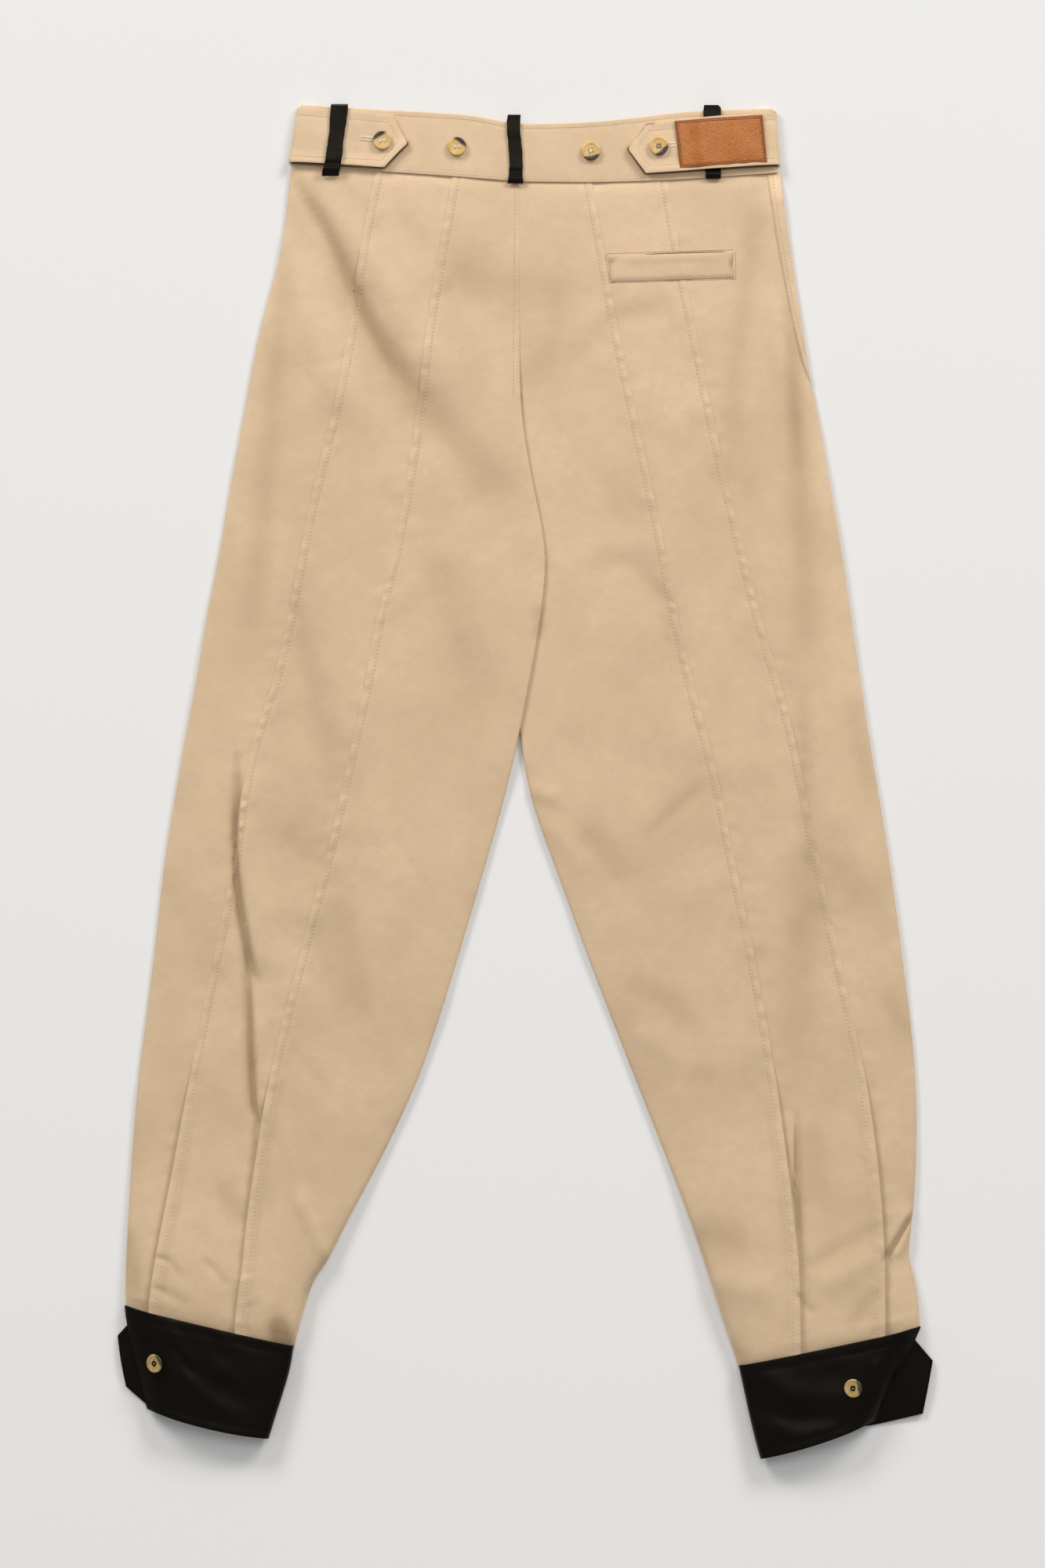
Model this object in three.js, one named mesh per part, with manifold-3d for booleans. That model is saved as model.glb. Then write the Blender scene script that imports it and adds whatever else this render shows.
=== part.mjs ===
// Balloon-leg gaucho trousers in cotton twill with leather cuffs, laid flat on their front, back side up.
// Millimetres, +Z up, +Y towards the waist. The origin is on the floor, at the middle of the garment's box.
// Every cloth piece is a wall of even thickness: its outer surface is a grid of points, worked out from short
// tables of sections, and its inner surface lies one wall further in.
import * as THREE from "three";
import { mergeVertices } from "three/addons/utils/BufferGeometryUtils.js";
import Module from "manifold-3d";

const wasm = await Module();
wasm.setup();

// ---- driving dimensions
const CLOTH = 1.0; // wall of the cotton twill
const BAND = 1.8; // waistband and waist tabs: two plies with a stiffener
const LEATHER = 1.6; // cuffs
const STRAP = 1.3; // belt loops
const PATCH = 1.3; // plain leather patch
const GAP = 0.3; // between pieces at a seam, and between pieces that lie on each other
const SIDE_GAP = 1.1; // between front and back at the side seam, where it runs round a fold
const TURN = 10; // cloth turned under at a folded edge
const SEAM_FOLD = 2.4; // outer thickness of an edge folded flat on itself
const CENTRE = -3; // x of the centre back and centre front seams
const CROTCH = 300; // y where the centre seam ends
const PARTING = 345; // y where the two thighs start to lie one over the other
const FORK = 31; // y where the thighs come apart
const FRONT_DIP = 12; // the waist is cut this much lower at the centre front
const ROW_SPACING = 34; // usual step between sections along a leg

// ---- small helpers
const { clamp, lerp, smoothstep, degToRad } = THREE.MathUtils;
const ramp = (from, to, x) => (from < to ? smoothstep(x, from, to) : 1 - smoothstep(x, to, from));
const rise = (distance, length) => 1 - (1 - clamp(distance / length, 0, 1)) ** 2;

// Turns rows of numbers into objects with named columns.
function table(columns, rows) {
  return rows.map((row) => Object.fromEntries(columns.map((name, i) => [name, row[i]])));
}

// A smooth curve through the named columns of a table, at the whole and fractional rows given by t.
function rowAt(rows, t) {
  const i = Math.min(Math.floor(t), rows.length - 2);
  const u = t - i;
  const row = (k) => rows[clamp(k, 0, rows.length - 1)];
  const out = {};
  for (const name of Object.keys(rows[0])) {
    const [a, b, c, d] = [row(i - 1), row(i), row(i + 1), row(i + 2)].map((r) => r[name]);
    out[name] = b + 0.5 * u * (c - a + u * (2 * a - 5 * b + 4 * c - d + u * (3 * (b - c) + d - a)));
  }
  return out;
}

// y of a curve given as rows of x and y, at any x.
function curveY(rows, x) {
  const last = rows.length - 1;
  if (x <= rows[0].x) return rows[0].y;
  if (x >= rows[last].x) return rows[last].y;
  const i = rows.findIndex((r, k) => k < last && x <= rows[k + 1].x);
  return lerp(rows[i].y, rows[i + 1].y, (x - rows[i].x) / (rows[i + 1].x - rows[i].x));
}

// ---- walls
const across = new THREE.Vector3();
const down = new THREE.Vector3();

// Outward normal at a grid point. Columns run from left to right on the upper side, rows from the waist down.
function normalAt(grid, r, c) {
  const rows = grid.length;
  const columns = grid[0].length;
  down.subVectors(grid[Math.min(r + 1, rows - 1)][c], grid[Math.max(r - 1, 0)][c]);
  across.subVectors(grid[r][Math.min(c + 1, columns - 1)], grid[r][Math.max(c - 1, 0)]);
  return new THREE.Vector3().crossVectors(down, across).normalize();
}

// A closed wall whose outer surface is the grid of points.
function wallGeometry(grid, thickness) {
  const rows = grid.length;
  const columns = grid[0].length;
  const inner = grid.map((row, r) =>
    row.map((point, c) => point.clone().addScaledVector(normalAt(grid, r, c), -thickness)),
  );
  const corners = [];
  const quad = (a, b, c, d) => corners.push(a, b, c, a, c, d);
  for (let r = 0; r < rows - 1; r++) {
    for (let c = 0; c < columns - 1; c++) {
      quad(grid[r][c], grid[r + 1][c], grid[r + 1][c + 1], grid[r][c + 1]);
      quad(inner[r][c], inner[r][c + 1], inner[r + 1][c + 1], inner[r + 1][c]);
    }
    quad(grid[r][0], inner[r][0], inner[r + 1][0], grid[r + 1][0]);
    const end = columns - 1;
    quad(grid[r][end], grid[r + 1][end], inner[r + 1][end], inner[r][end]);
  }
  for (let c = 0; c < columns - 1; c++) {
    quad(grid[0][c], grid[0][c + 1], inner[0][c + 1], inner[0][c]);
    const end = rows - 1;
    quad(grid[end][c], inner[end][c], inner[end][c + 1], grid[end][c + 1]);
  }
  return new THREE.BufferGeometry().setFromPoints(corners);
}

// ---- cuts and joins
function toManifold(geometry) {
  const bare = geometry.clone();
  for (const name of ["normal", "uv"]) bare.deleteAttribute(name);
  const merged = mergeVertices(bare, 1e-3);
  return new wasm.Manifold(
    new wasm.Mesh({
      numProp: 3,
      vertProperties: merged.attributes.position.array,
      triVerts: new Uint32Array(merged.index.array),
    }),
  );
}

function fromManifold(solid) {
  const mesh = solid.getMesh();
  return new THREE.BufferGeometry()
    .setAttribute("position", new THREE.BufferAttribute(mesh.vertProperties, 3))
    .setIndex(new THREE.BufferAttribute(mesh.triVerts, 1));
}

// ---- the garment and its finishes
const garment = new THREE.Group();
garment.name = "gaucho_trousers";
const material = (color, roughness) => new THREE.MeshStandardMaterial({ color, roughness, metalness: 0 });
const TWILL = material(0xdcbd94, 0.9);
const BLACK = material(0x14110f, 0.45);
const TAN = material(0xb5652c, 0.55);
const HORN = material(0xc9a355, 0.3);

function add(name, geometry, finish) {
  const mesh = new THREE.Mesh(geometry, finish);
  mesh.name = name;
  garment.add(mesh);
  return mesh;
}

// ---- legs: sections from the waist to the hem
// outer is the folded side edge, outerSeam and innerSeam the two long panel seams, inner the centre seam, then the
// inside edge of the leg. yOuter and yInner are the heights of the section's two ends. turn says where the side
// seam lies, measured round the folded edge: below 0 it is on the upper side, above 0 it is turned under.
const LEG_COLUMNS = ["yOuter", "outer", "outerSeam", "innerSeam", "inner", "yInner", "turn"];
const LEFT_SECTIONS = table(LEG_COLUMNS, [
  [480, -182, -116.5, -57, -3, 465.7, 15],
  [425, -187, -127, -65, -3, 425, 15],
  [340, -209, -139, -79, -4, 340, 15],
  [300, -216, -147, -83, -4, 300, 15],
  [262, -223, -156, -88, 0, 262, 15],
  [220, -231, -167, -95, 8.5, 220, 15],
  [181, -237, -175, -102, 16.5, 181, 15],
  [126, -248, -185, -116, 12, 126, 15],
  [71, -257, -198, -126, 2, 71, 15],
  [31, -265, -213, -135, -5.5, 31, 15],
  [-10, -272, -221, -144, -15, -10, 15],
  [-66, -281, -228, -157, -31, -66, 15],
  [-148, -290, -245, -179, -55.5, -148, 16],
  [-230, -301, -261, -199, -82, -230, 17],
  [-307, -307, -275, -212, -119, -307, 18],
  [-341, -309, -282, -217, -141.5, -348, 19],
  [-362, -310, -286, -219, -153.5, -375, 20],
  [-370, -310.5, -287.5, -220, -163, -384, 20],
  [-385, -311, -290, -223, -170, -405, 20],
  [-407, -311, -293, -226, -179, -438, 20],
]);
const RIGHT_SECTIONS = table(LEG_COLUMNS, [
  [472.5, 198.3, 111.5, 52, -3, 465.7, -9.5],
  [425, 204.7, 118.5, 60, -3, 425, -9.5],
  [359, 214.7, 131, 71, -4, 359, -7],
  [326, 219.6, 138, 78, -4, 326, -3.5],
  [313, 222, 140.5, 80.5, -4, 313, 0],
  [300, 224.8, 143, 83.5, -4, 300, 4],
  [262, 232, 151, 92, -7, 262, 12],
  [220, 239, 160.5, 101, -10, 220, 15],
  [181, 246, 170, 109, -11, 181, 15],
  [126, 254, 183.5, 119, -11, 126, 15],
  [71, 262, 200, 132, -8.5, 71, 15],
  [31, 268, 211, 143, -4, 31, 15],
  [-10, 275, 219, 153, 3, -10, 15],
  [-66, 284, 230, 164, 23, -66, 15],
  [-148, 295, 247, 181, 53, -148, 16],
  [-230, 304, 265, 195, 85, -230, 17],
  [-305, 304, 275, 205, 116, -309, 18],
  [-335, 302, 277.5, 210, 130.5, -348, 19],
  [-362, 298, 279, 212, 140, -377, 20],
  [-373, 299, 279.5, 213, 145, -392, 20],
  [-392, 305, 279.5, 213.5, 152.5, -417, 20],
  [-423, 307.5, 279.5, 214, 165, -453, 20],
]);

// ---- waistband: its upper edge, and the seam that joins it to the legs
const CURVE = ["x", "y"];
const WAIST_TOP = table(CURVE, [
  [-174.5, 526],
  [-131, 522.5],
  [-79, 520],
  [-40, 517.5],
  [-18, 512.5],
  [-3, 510.5],
  [52, 512],
  [95, 516.5],
  [120, 520],
  [193, 523],
]);
const WAIST_SEAM = table(CURVE, [
  [-182, 480],
  [-116.5, 474],
  [-57, 470],
  [-3, 465.7],
  [52, 465.1],
  [111.5, 466.7],
  [187, 472],
  [197, 473],
]);
const WAIST_ENDS = { left: { top: -174.5, seam: -182 }, right: { top: 193, seam: 197 } };

// ---- largest folds of the cloth: a valley or a ridge along a curve through three points
const FOLDS = table(["x0", "y0", "x1", "y1", "x2", "y2", "width0", "width2", "height"], [
  [-182, 474, -130, 380, -12, 212, 6, 20, -2.4], // from the left hip down to the crotch
  [-101, 439, -49, 394, 46, 318, 10, 17, -1.6], // across the seat
  [-76, 181, -20, 126, -24, 56, 18, 18, -1.5], // left thigh, inside
  [-212, 270, -214, 144, -224, 14, 13, 9, -1.5], // left side, beside the edge
  [-224, 14, -229, -80, -209, -149, 8, 8, -2.4], // left knee crease
  [-219, -158, -214, -203, -207, -266, 8, 8, -2.2], // left calf crease
  [-177, 126, -149, -2, -119, -191, 16, 18, -1.6], // left leg, middle
  [-182, -195, -168, -283, -158, -371, 9, 7, 1.6], // ridge that runs to the nick above the left cuff
  [192, 461, 210, 297, 216, 172, 9, 12, -1.6], // right side, hip
  [216, 172, 220, -2, 221, -179, 12, 14, -1.7], // right side, thigh to calf
  [52, -36, 75, -58, 83, -88, 13, 13, -1.6], // right knee, inside
  [79, 172, 107, 138, 119, 68, 10, 9, -1.1], // right thigh
  [301, -334, 288, -352, 280, -372, 7, 7, -1.8], // tuck above the right cuff
]);

const FOLD_STEPS = 14;
for (const fold of FOLDS) {
  const ends = [0, 1, 2].map((i) => new THREE.Vector2(fold["x" + i], fold["y" + i]));
  const middle = ends[1].clone().multiplyScalar(2).addScaledVector(ends[0], -0.5).addScaledVector(ends[2], -0.5);
  fold.path = new THREE.QuadraticBezierCurve(ends[0], middle, ends[2]).getPoints(FOLD_STEPS);
}

// Height that all the folds add at a point.
function foldHeight(x, y) {
  let sum = 0;
  for (const fold of FOLDS) {
    let nearest = Infinity;
    let at = 0;
    fold.path.forEach((point, i) => {
      const d = Math.hypot(point.x - x, point.y - y);
      if (d < nearest) [nearest, at] = [d, i / FOLD_STEPS];
    });
    const width = lerp(fold.width0, fold.width2, at);
    const fade = Math.min(1, 0.35 + 4 * at) * Math.min(1, 0.35 + 4 * (1 - at));
    sum += fold.height * fade * Math.exp(-((nearest / width) ** 2));
  }
  return sum;
}

// ---- heights of the upper side
const EDGE = { leg: 3.6, hemOuter: 6, hemInner: 9 }; // thickness at the folded edges
const MIDDLE = { leg: 5.9, hem: 13 }; // height between the edges
const ROLL = { leg: 45, hem: 28 }; // an edge blends into the middle over this width
const HEM_START = -230; // y where the leg starts to swell towards the cuff
const HEM_END = -425;
const LAP = { waist: 0.3, hem: 1.5 }; // an inner panel laps over its outer neighbour by this height
const LAP_WIDTH = 6; // the lap is this wide, and runs out over as much again

const nearHem = (y) => ramp(HEM_START, HEM_END, y);
const lapHeight = (y) => lerp(LAP.waist, LAP.hem, ramp(0, HEM_END, y));

// All sections of a leg, close enough together for its curves.
const WAIST_ROWS = 3; // the curve of the waist seam dies out over these sections
function sectionsOf(rows, side) {
  const sections = [];
  for (let i = 0; i < rows.length - 1; i++) {
    const steps = Math.max(1, Math.round((rows[i].yInner - rows[i + 1].yInner) / ROW_SPACING));
    for (let k = 0; k < steps; k++) sections.push(rowAt(rows, i + k / steps));
  }
  sections.push({ ...rows[rows.length - 1] });
  return sections.map((section, i) => ({ ...section, side, waist: Math.max(0, 1 - i / WAIST_ROWS) }));
}
const LEFT = sectionsOf(LEFT_SECTIONS, "left");
const RIGHT = sectionsOf(RIGHT_SECTIONS, "right");
const WAIST_LINE = { left: LEFT[0], right: RIGHT[0] };

const straightY = (section, x) =>
  lerp(section.yOuter, section.yInner, (x - section.outer) / (section.inner - section.outer));

// y of a section at x: straight across the leg, and along the waist seam at the very top.
function sectionY(section, x) {
  const bend = curveY(WAIST_SEAM, x) - GAP / 2 - straightY(WAIST_LINE[section.side], x);
  return straightY(section, x) + section.waist * bend;
}

// How much lower the front of the waist is cut.
const frontDip = (x) => FRONT_DIP * Math.max(0, 1 - ((x - CENTRE) / WAIST_ENDS.right.seam) ** 2);

// The section of a leg that passes through a point.
function sectionThrough(sections, x, y) {
  let i = 0;
  while (i < sections.length - 2 && sectionY(sections[i + 1], x) > y) i++;
  const [above, below] = [sections[i], sections[i + 1]];
  const [high, low] = [sectionY(above, x), sectionY(below, x)];
  const t = clamp((high - y) / (high - low), 0, 1);
  const mixed = { side: above.side };
  for (const name of [...LEG_COLUMNS, "waist"]) mixed[name] = lerp(above[name], below[name], t);
  return mixed;
}

// Upper side of one leg on its own.
function ownTop(section, x) {
  const y = sectionY(section, x);
  const hem = nearHem(y);
  const roll = lerp(ROLL.leg, ROLL.hem, hem);
  const inside = lerp(1, rise(Math.abs(section.inner - x), roll), ramp(PARTING, CROTCH, y));
  const raised = rise(Math.abs(x - section.outer), roll) * inside;
  const share = clamp((x - section.outer) / (section.inner - section.outer), 0, 1);
  const edge = lerp(EDGE.leg, lerp(EDGE.hemOuter, EDGE.hemInner, share), hem);
  return lerp(edge, lerp(MIDDLE.leg, MIDDLE.hem, hem), raised) + foldHeight(x, y) * inside;
}

// Where the left thigh lies over the right one, from 0 to 1.
const FORK_BLEND = 30;
const overRight = (y) => ramp(PARTING, CROTCH, y) * ramp(FORK - FORK_BLEND, FORK, y);

// Upper side of a leg: the left thigh is lifted where it lies on the right one.
const LIFT_WIDTH = 45;
function legTop(section, x) {
  const own = ownTop(section, x);
  if (section.side === "right") return own;
  const y = sectionY(section, x);
  const under = sectionThrough(RIGHT, Math.max(x, CENTRE), y);
  const lifted = ownTop(under, Math.max(x, under.inner)) + GAP + SEAM_FOLD;
  return lerp(own, Math.max(own, lifted), overRight(y) * ramp(under.inner - LIFT_WIDTH, under.inner - 4, x));
}

// Lower side of the cloth turned under at the centre seam and at the inside edge of a leg.
function innerBase(section, x) {
  const y = sectionY(section, x);
  const folded = legTop(section, section.inner) - SEAM_FOLD;
  if (section.side === "right") return folded * ramp(CROTCH, PARTING, y);
  if (y >= CROTCH) return folded;
  const under = sectionThrough(RIGHT, Math.max(x, CENTRE), y);
  return (ownTop(under, Math.max(x, under.inner)) + GAP) * ramp(FORK - FORK_BLEND, FORK, y);
}

// ---- a path over the top of a section, round its folded end and back along the floor
const ARC_SHARES = [0, 0.25, 0.5, 0.75, 1];
const CLOSEST = 0.5; // smallest step between two points of a wall

// Points at distances s past the start of the fold. place(t, z) gives a point at t from the section's end.
function roundFold({ place, top, base = () => 0, radius }, distances) {
  return distances.map((s) => {
    const length = Math.PI * radius;
    if (s <= 0) return place(radius - s, top(radius - s));
    if (s >= length) return place(radius + s - length, base(radius + s - length));
    const angle = s / radius;
    return place(radius - radius * Math.sin(angle), base(0) + radius + radius * Math.cos(angle));
  });
}

// Distances of the fold's own points, kept before or behind a seam.
const foldStops = (radius) => ARC_SHARES.map((share) => share * Math.PI * radius);
const stopsBefore = (radius, seam) => {
  const stops = [...foldStops(radius), seam];
  return stops.map((s, i) => Math.min(s, seam - (stops.length - 1 - i) * CLOSEST));
};
const stopsBehind = (radius, seam) => {
  const stops = [seam, ...foldStops(radius)];
  return stops.map((s, i) => Math.max(s, seam + i * CLOSEST));
};

// The folded side edge of a leg's section, as seen from its outer end.
function outerFold(section) {
  const sign = section.side === "left" ? 1 : -1;
  const xAt = (t) => section.outer + sign * t;
  return {
    place: (t, z) => new THREE.Vector3(xAt(t), sectionY(section, xAt(t)), z),
    top: (t) => legTop(section, xAt(Math.max(t, 0))),
    radius: legTop(section, section.outer) / 2,
  };
}

// The inside edge of a section, or its seam allowance turned under at the centre seam.
function innerFold(section) {
  const sign = section.side === "left" ? -1 : 1;
  const edge = section.inner + (sign * GAP) / 2;
  const xAt = (t) => edge + sign * t;
  const top = legTop(section, edge);
  return {
    place: (t, z) => new THREE.Vector3(xAt(t), sectionY(section, xAt(t)), z),
    top: (t) => legTop(section, xAt(t)),
    base: (t) => innerBase(section, xAt(t)),
    radius: (top - innerBase(section, edge)) / 2,
  };
}

// ---- back panels
const PANELS = table(["name", "from", "to", "columns"], [
  ["outer", "outer", "outerSeam", 5],
  ["middle", "outerSeam", "innerSeam", 6],
  ["inner", "innerSeam", "inner", 7],
]);

// Height of the lap that a panel makes along its outer seam.
function lapOver(section, panel, x, y) {
  if (panel.from === "outer") return 0;
  return lapHeight(y) * (1 - ramp(LAP_WIDTH, 2 * LAP_WIDTH, Math.abs(x - section[panel.from])));
}

// A row of a back panel, from its outer end to its inner end.
function panelRow(section, panel) {
  const sign = section.side === "left" ? 1 : -1;
  const outer = outerFold(section);
  const inner = innerFold(section);
  const upper = (x) => {
    const y = sectionY(section, x);
    return new THREE.Vector3(x, y, legTop(section, x) + lapOver(section, panel, x, y));
  };
  let start = section[panel.from] + (sign * GAP) / 2;
  let end = section[panel.to] - (sign * GAP) / 2;
  const before = [];
  const after = [];
  if (panel.from === "outer") {
    const stops = stopsBefore(outer.radius, section.turn);
    before.push(...roundFold(outer, stops).reverse());
    start = before[before.length - 1].x;
    before.pop();
  }
  if (panel.to === "inner") {
    const stops = [...foldStops(inner.radius), Math.PI * inner.radius + TURN];
    after.push(...roundFold(inner, stops).slice(1));
    end = section.inner - sign * (GAP / 2 + inner.radius);
  }
  // columns stand closer together beside a lap
  const stops = [];
  for (let i = 0; i <= panel.columns; i++) stops.push(i / panel.columns);
  if (panel.from !== "outer") {
    stops[1] = LAP_WIDTH / Math.abs(end - start);
    stops[2] = (2 * LAP_WIDTH) / Math.abs(end - start);
    for (let i = 3; i < panel.columns; i++) stops[i] = lerp(stops[2], 1, (i - 2) / (panel.columns - 2));
  }
  return [...before, ...stops.map((t) => upper(lerp(start, end, t))), ...after];
}

function leftToRight(section, row) {
  return section.side === "left" ? row : row.reverse();
}

for (const sections of [LEFT, RIGHT]) {
  for (const panel of PANELS) {
    const grid = sections.map((section) => leftToRight(section, panelRow(section, panel)));
    add(`back_${sections[0].side}_${panel.name}`, wallGeometry(grid, CLOTH), TWILL);
  }
}

// ---- front panels, flat on the floor, and the fly between them
const FLY = { width: 35, foot: 8, end: 359 };
const flyWidth = (y) => lerp(FLY.foot, FLY.width, rise(y - FLY.end, 50));

// x where a front panel ends at the centre front, or at the inside edge of its leg.
function frontEnd(section) {
  const y = section.yInner;
  if (section.side === "left") {
    if (y > PARTING) return CENTRE - GAP / 2;
    const beside = sectionThrough(RIGHT, CENTRE, y).inner - 2 * GAP;
    if (y > FORK) return Math.min(section.inner, beside);
    return section.inner - innerFold(section).radius - TURN - 1.5 * GAP;
  }
  if (y > PARTING) return CENTRE + flyWidth(y) + GAP;
  return section.inner + innerFold(section).radius + TURN + 1.5 * GAP;
}

const FRONT_COLUMNS = 4;
function frontRow(section) {
  const outer = outerFold(section);
  const behind = roundFold(outer, stopsBehind(outer.radius, section.turn + SIDE_GAP));
  const last = behind[behind.length - 1];
  const end = frontEnd(section);
  for (let i = 1; i <= FRONT_COLUMNS; i++) {
    const x = lerp(last.x, end, i / FRONT_COLUMNS);
    behind.push(new THREE.Vector3(x, sectionY(section, x), 0));
  }
  return behind.map((point) => point.setY(point.y - section.waist * frontDip(point.x) * (point.z === 0)));
}

for (const sections of [LEFT, RIGHT]) {
  const grid = sections.map((section) => {
    const row = frontRow(section);
    return section.side === "left" ? row.reverse() : row;
  });
  add(`front_${sections[0].side}`, wallGeometry(grid, CLOTH), TWILL);
}

const flyRows = RIGHT.filter((section) => section.yInner >= FLY.end).map((section) => {
  const y = section.yInner;
  const xs = [CENTRE + flyWidth(y), CENTRE + GAP / 2];
  return xs.map((x) => new THREE.Vector3(x, sectionY(section, x) - section.waist * frontDip(x), 0));
});
add("front_fly", wallGeometry(flyRows, CLOTH), TWILL);

// ---- what lies on the upper side takes its height from the pieces under it
const caster = new THREE.Raycaster();
const SKY = 100;
const FLOORWARD = new THREE.Vector3(0, 0, -1);

// Height of the highest of the named pieces within reach of x and y.
function heightOver(names, x, y, reach = 0) {
  const pieces = garment.children.filter((mesh) => names.some((name) => mesh.name.startsWith(name)));
  let highest = 0;
  for (const dx of [-reach, 0, reach]) {
    for (const dy of [-reach, 0, reach]) {
      caster.set(new THREE.Vector3(x + dx, y + dy, SKY), FLOORWARD);
      const hits = caster.intersectObjects(pieces);
      if (hits.length) highest = Math.max(highest, hits[0].point.z);
    }
  }
  return highest;
}

// ---- waistband
const BAND_EDGE = 4.2; // thickness of the band at its folded ends
const BAND_MIDDLE = 6.2;
const BAND_ROLL = 35;
const BAND_ROWS = 3;
const BAND_TOPS = [-169, -155, -137, -116, -98, -79, -60, -40, -18, -3, 25, 52, 80, 95, 120, 145, 168, 188];

function bandFold(t, side) {
  const sign = side === "left" ? 1 : -1;
  const edge = lerp(WAIST_ENDS[side].top, WAIST_ENDS[side].seam, t);
  const y = (x) => lerp(curveY(WAIST_TOP, x), curveY(WAIST_SEAM, x) + GAP / 2, t);
  return {
    place: (along, z) => new THREE.Vector3(edge + sign * along, y(edge + sign * along), z),
    top: (along) => lerp(BAND_EDGE, BAND_MIDDLE, rise(along, BAND_ROLL)),
    radius: BAND_EDGE / 2,
  };
}

// Upper side of the band at x, between the folded ends left and right.
const bandTop = (x, left = WAIST_ENDS.left.top, right = WAIST_ENDS.right.top) =>
  lerp(BAND_EDGE, BAND_MIDDLE, rise(Math.min(x - left, right - x), BAND_ROLL));

const backBand = [];
const frontBands = { left: [], right: [] };
// x of the points where the front panels and the fly meet the waistband
const frontSeam = { left: frontRow(LEFT[0]), right: frontRow(RIGHT[0]) };
for (const side of ["left", "right"]) {
  const sign = side === "left" ? -1 : 1;
  const end = WAIST_ENDS[side].seam - sign * (BAND_EDGE / 2 + TURN + GAP);
  const inner = frontSeam[side].map((point) => point.x).filter((x) => sign * (end - x) > CLOSEST);
  frontSeam[side] = [end, ...inner, CENTRE + (sign * GAP) / 2].filter((x, i, all) => x !== all[i - 1]);
}
frontSeam.left.reverse();
for (let r = 0; r <= BAND_ROWS; r++) {
  const t = r / BAND_ROWS;
  const [left, right] = ["left", "right"].map((side) => bandFold(t, side));
  const turned = (fold) => roundFold(fold, [...foldStops(fold.radius), Math.PI * fold.radius + TURN]);
  const [leftEdge, rightEdge] = [left, right].map((fold) => fold.place(0, 0).x);
  const middle = BAND_TOPS.map((x) => left.place(x - leftEdge, bandTop(x, leftEdge, rightEdge)));
  backBand.push([...turned(left).reverse(), ...middle, ...turned(right)]);
  for (const [side, fold] of Object.entries({ left, right })) {
    const edge = fold.place(0, 0).x;
    const row = frontSeam[side].map((x) => {
      const share = (x - CENTRE) / (WAIST_ENDS[side].seam - CENTRE);
      const shifted = x + share * (edge - WAIST_ENDS[side].seam);
      const point = fold.place(Math.abs(shifted - edge), 0);
      return point.setY(point.y - frontDip(shifted));
    });
    frontBands[side].push(row);
  }
}
add("waistband_back", wallGeometry(backBand, BAND), TWILL);
add("waistband_front_left", wallGeometry(frontBands.left, BAND), TWILL);
add("waistband_front_right", wallGeometry(frontBands.right, BAND), TWILL);

// ---- strips that lie on other pieces: belt loops, waist tabs, patch and pocket welt
// A row of a strip has the two ends left and right, and lies on the pieces named in under.
function stripRow(left, right, shares, under, wall, reach = 1.5) {
  return shares.map((share) => {
    const [x, y] = [lerp(left[0], right[0], share), lerp(left[1], right[1], share)];
    return new THREE.Vector3(x, y, heightOver(under, x, y, reach) + GAP + wall);
  });
}
const even = (count) => Array.from({ length: count + 1 }, (_, i) => i / count);

const LOOP_COLUMNS = ["y", "left", "right", "drop"]; // drop lowers an end that bends down behind the band
const LOOPS = {
  loop_right: table(LOOP_COLUMNS, [
    [525.5, 139.5, 150.5, 2],
    [523, 138.5, 152, 0],
    [513, 138.5, 152, 0],
    [500, 139, 151.8, 0],
    [484, 139.4, 151.5, 0],
    [473, 139.7, 151.4, 0],
    [468, 139.6, 151.6, 0],
  ]),
  loop_centre: table(LOOP_COLUMNS, [
    [518, -13.8, -4, 2],
    [515, -14, -3.7, 0],
    [508, -13.8, -3.4, 0],
    [494, -13, -2.7, 0],
    [480, -12.3, -2.1, 0],
    [470, -12.4, -1.8, 0],
    [464.3, -13.8, -1.8, 0],
  ]),
  loop_left: table(LOOP_COLUMNS, [
    [526.2, -150.1, -137.2, 1.5],
    [524.5, -150.5, -137.5, 0],
    [514, -151.4, -138.8, 0],
    [500, -153, -140.6, 0],
    [487, -154.8, -142.2, 0],
    [476.5, -157, -143.2, 0],
    [470, -157.4, -144.4, 0],
  ]),
};

function addLoop(name, under) {
  const shares = [0, 0.3, 0.7, 1];
  const rows = LOOPS[name].map(({ y, left, right, drop }) => {
    const row = stripRow([left, y], [right, y], shares, under, STRAP, 3);
    const top = Math.max(...row.map((point) => point.z), bandTop(left) + GAP + STRAP);
    return row.map((point) => point.setZ(top - drop));
  });
  add(name, wallGeometry(rows, STRAP), BLACK);
}
addLoop("loop_right", ["waistband_back", "back_right"]);
addLoop("loop_centre", ["waistband_back", "back_left", "back_right"]);

// Waist tabs: top and foot are the two long edges at each x, from the pointed tip to the side.
const TAB_COLUMNS = ["x", "top", "foot"];
const TABS = {
  tab_right: table(TAB_COLUMNS, [
    [80.5, 491.6, 490],
    [93.8, 510.6, 472.2],
    [106, 512.2, 472.9],
    [120, 513.5, 473.9],
    [133, 515, 475],
    [137, 515.4, 475.2],
    [153.5, 517, 476.3],
    [157.5, 517.4, 476.6],
    [172, 519, 477.8],
    [184, 520.1, 478.6],
  ]),
  tab_left: table(TAB_COLUMNS, [
    [-92, 496.4, 494.8],
    [-102.3, 517.2, 485],
    [-109.3, 518.2, 476.7],
    [-122, 519.8, 477.6],
    [-137, 521.3, 478.7],
    [-155, 522.6, 479.8],
    [-166, 523.4, 480.6],
  ]),
};
const TAB_REACH_DOWN = degToRad(20); // a tab wraps round the band's fold as far as this below its middle

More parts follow.
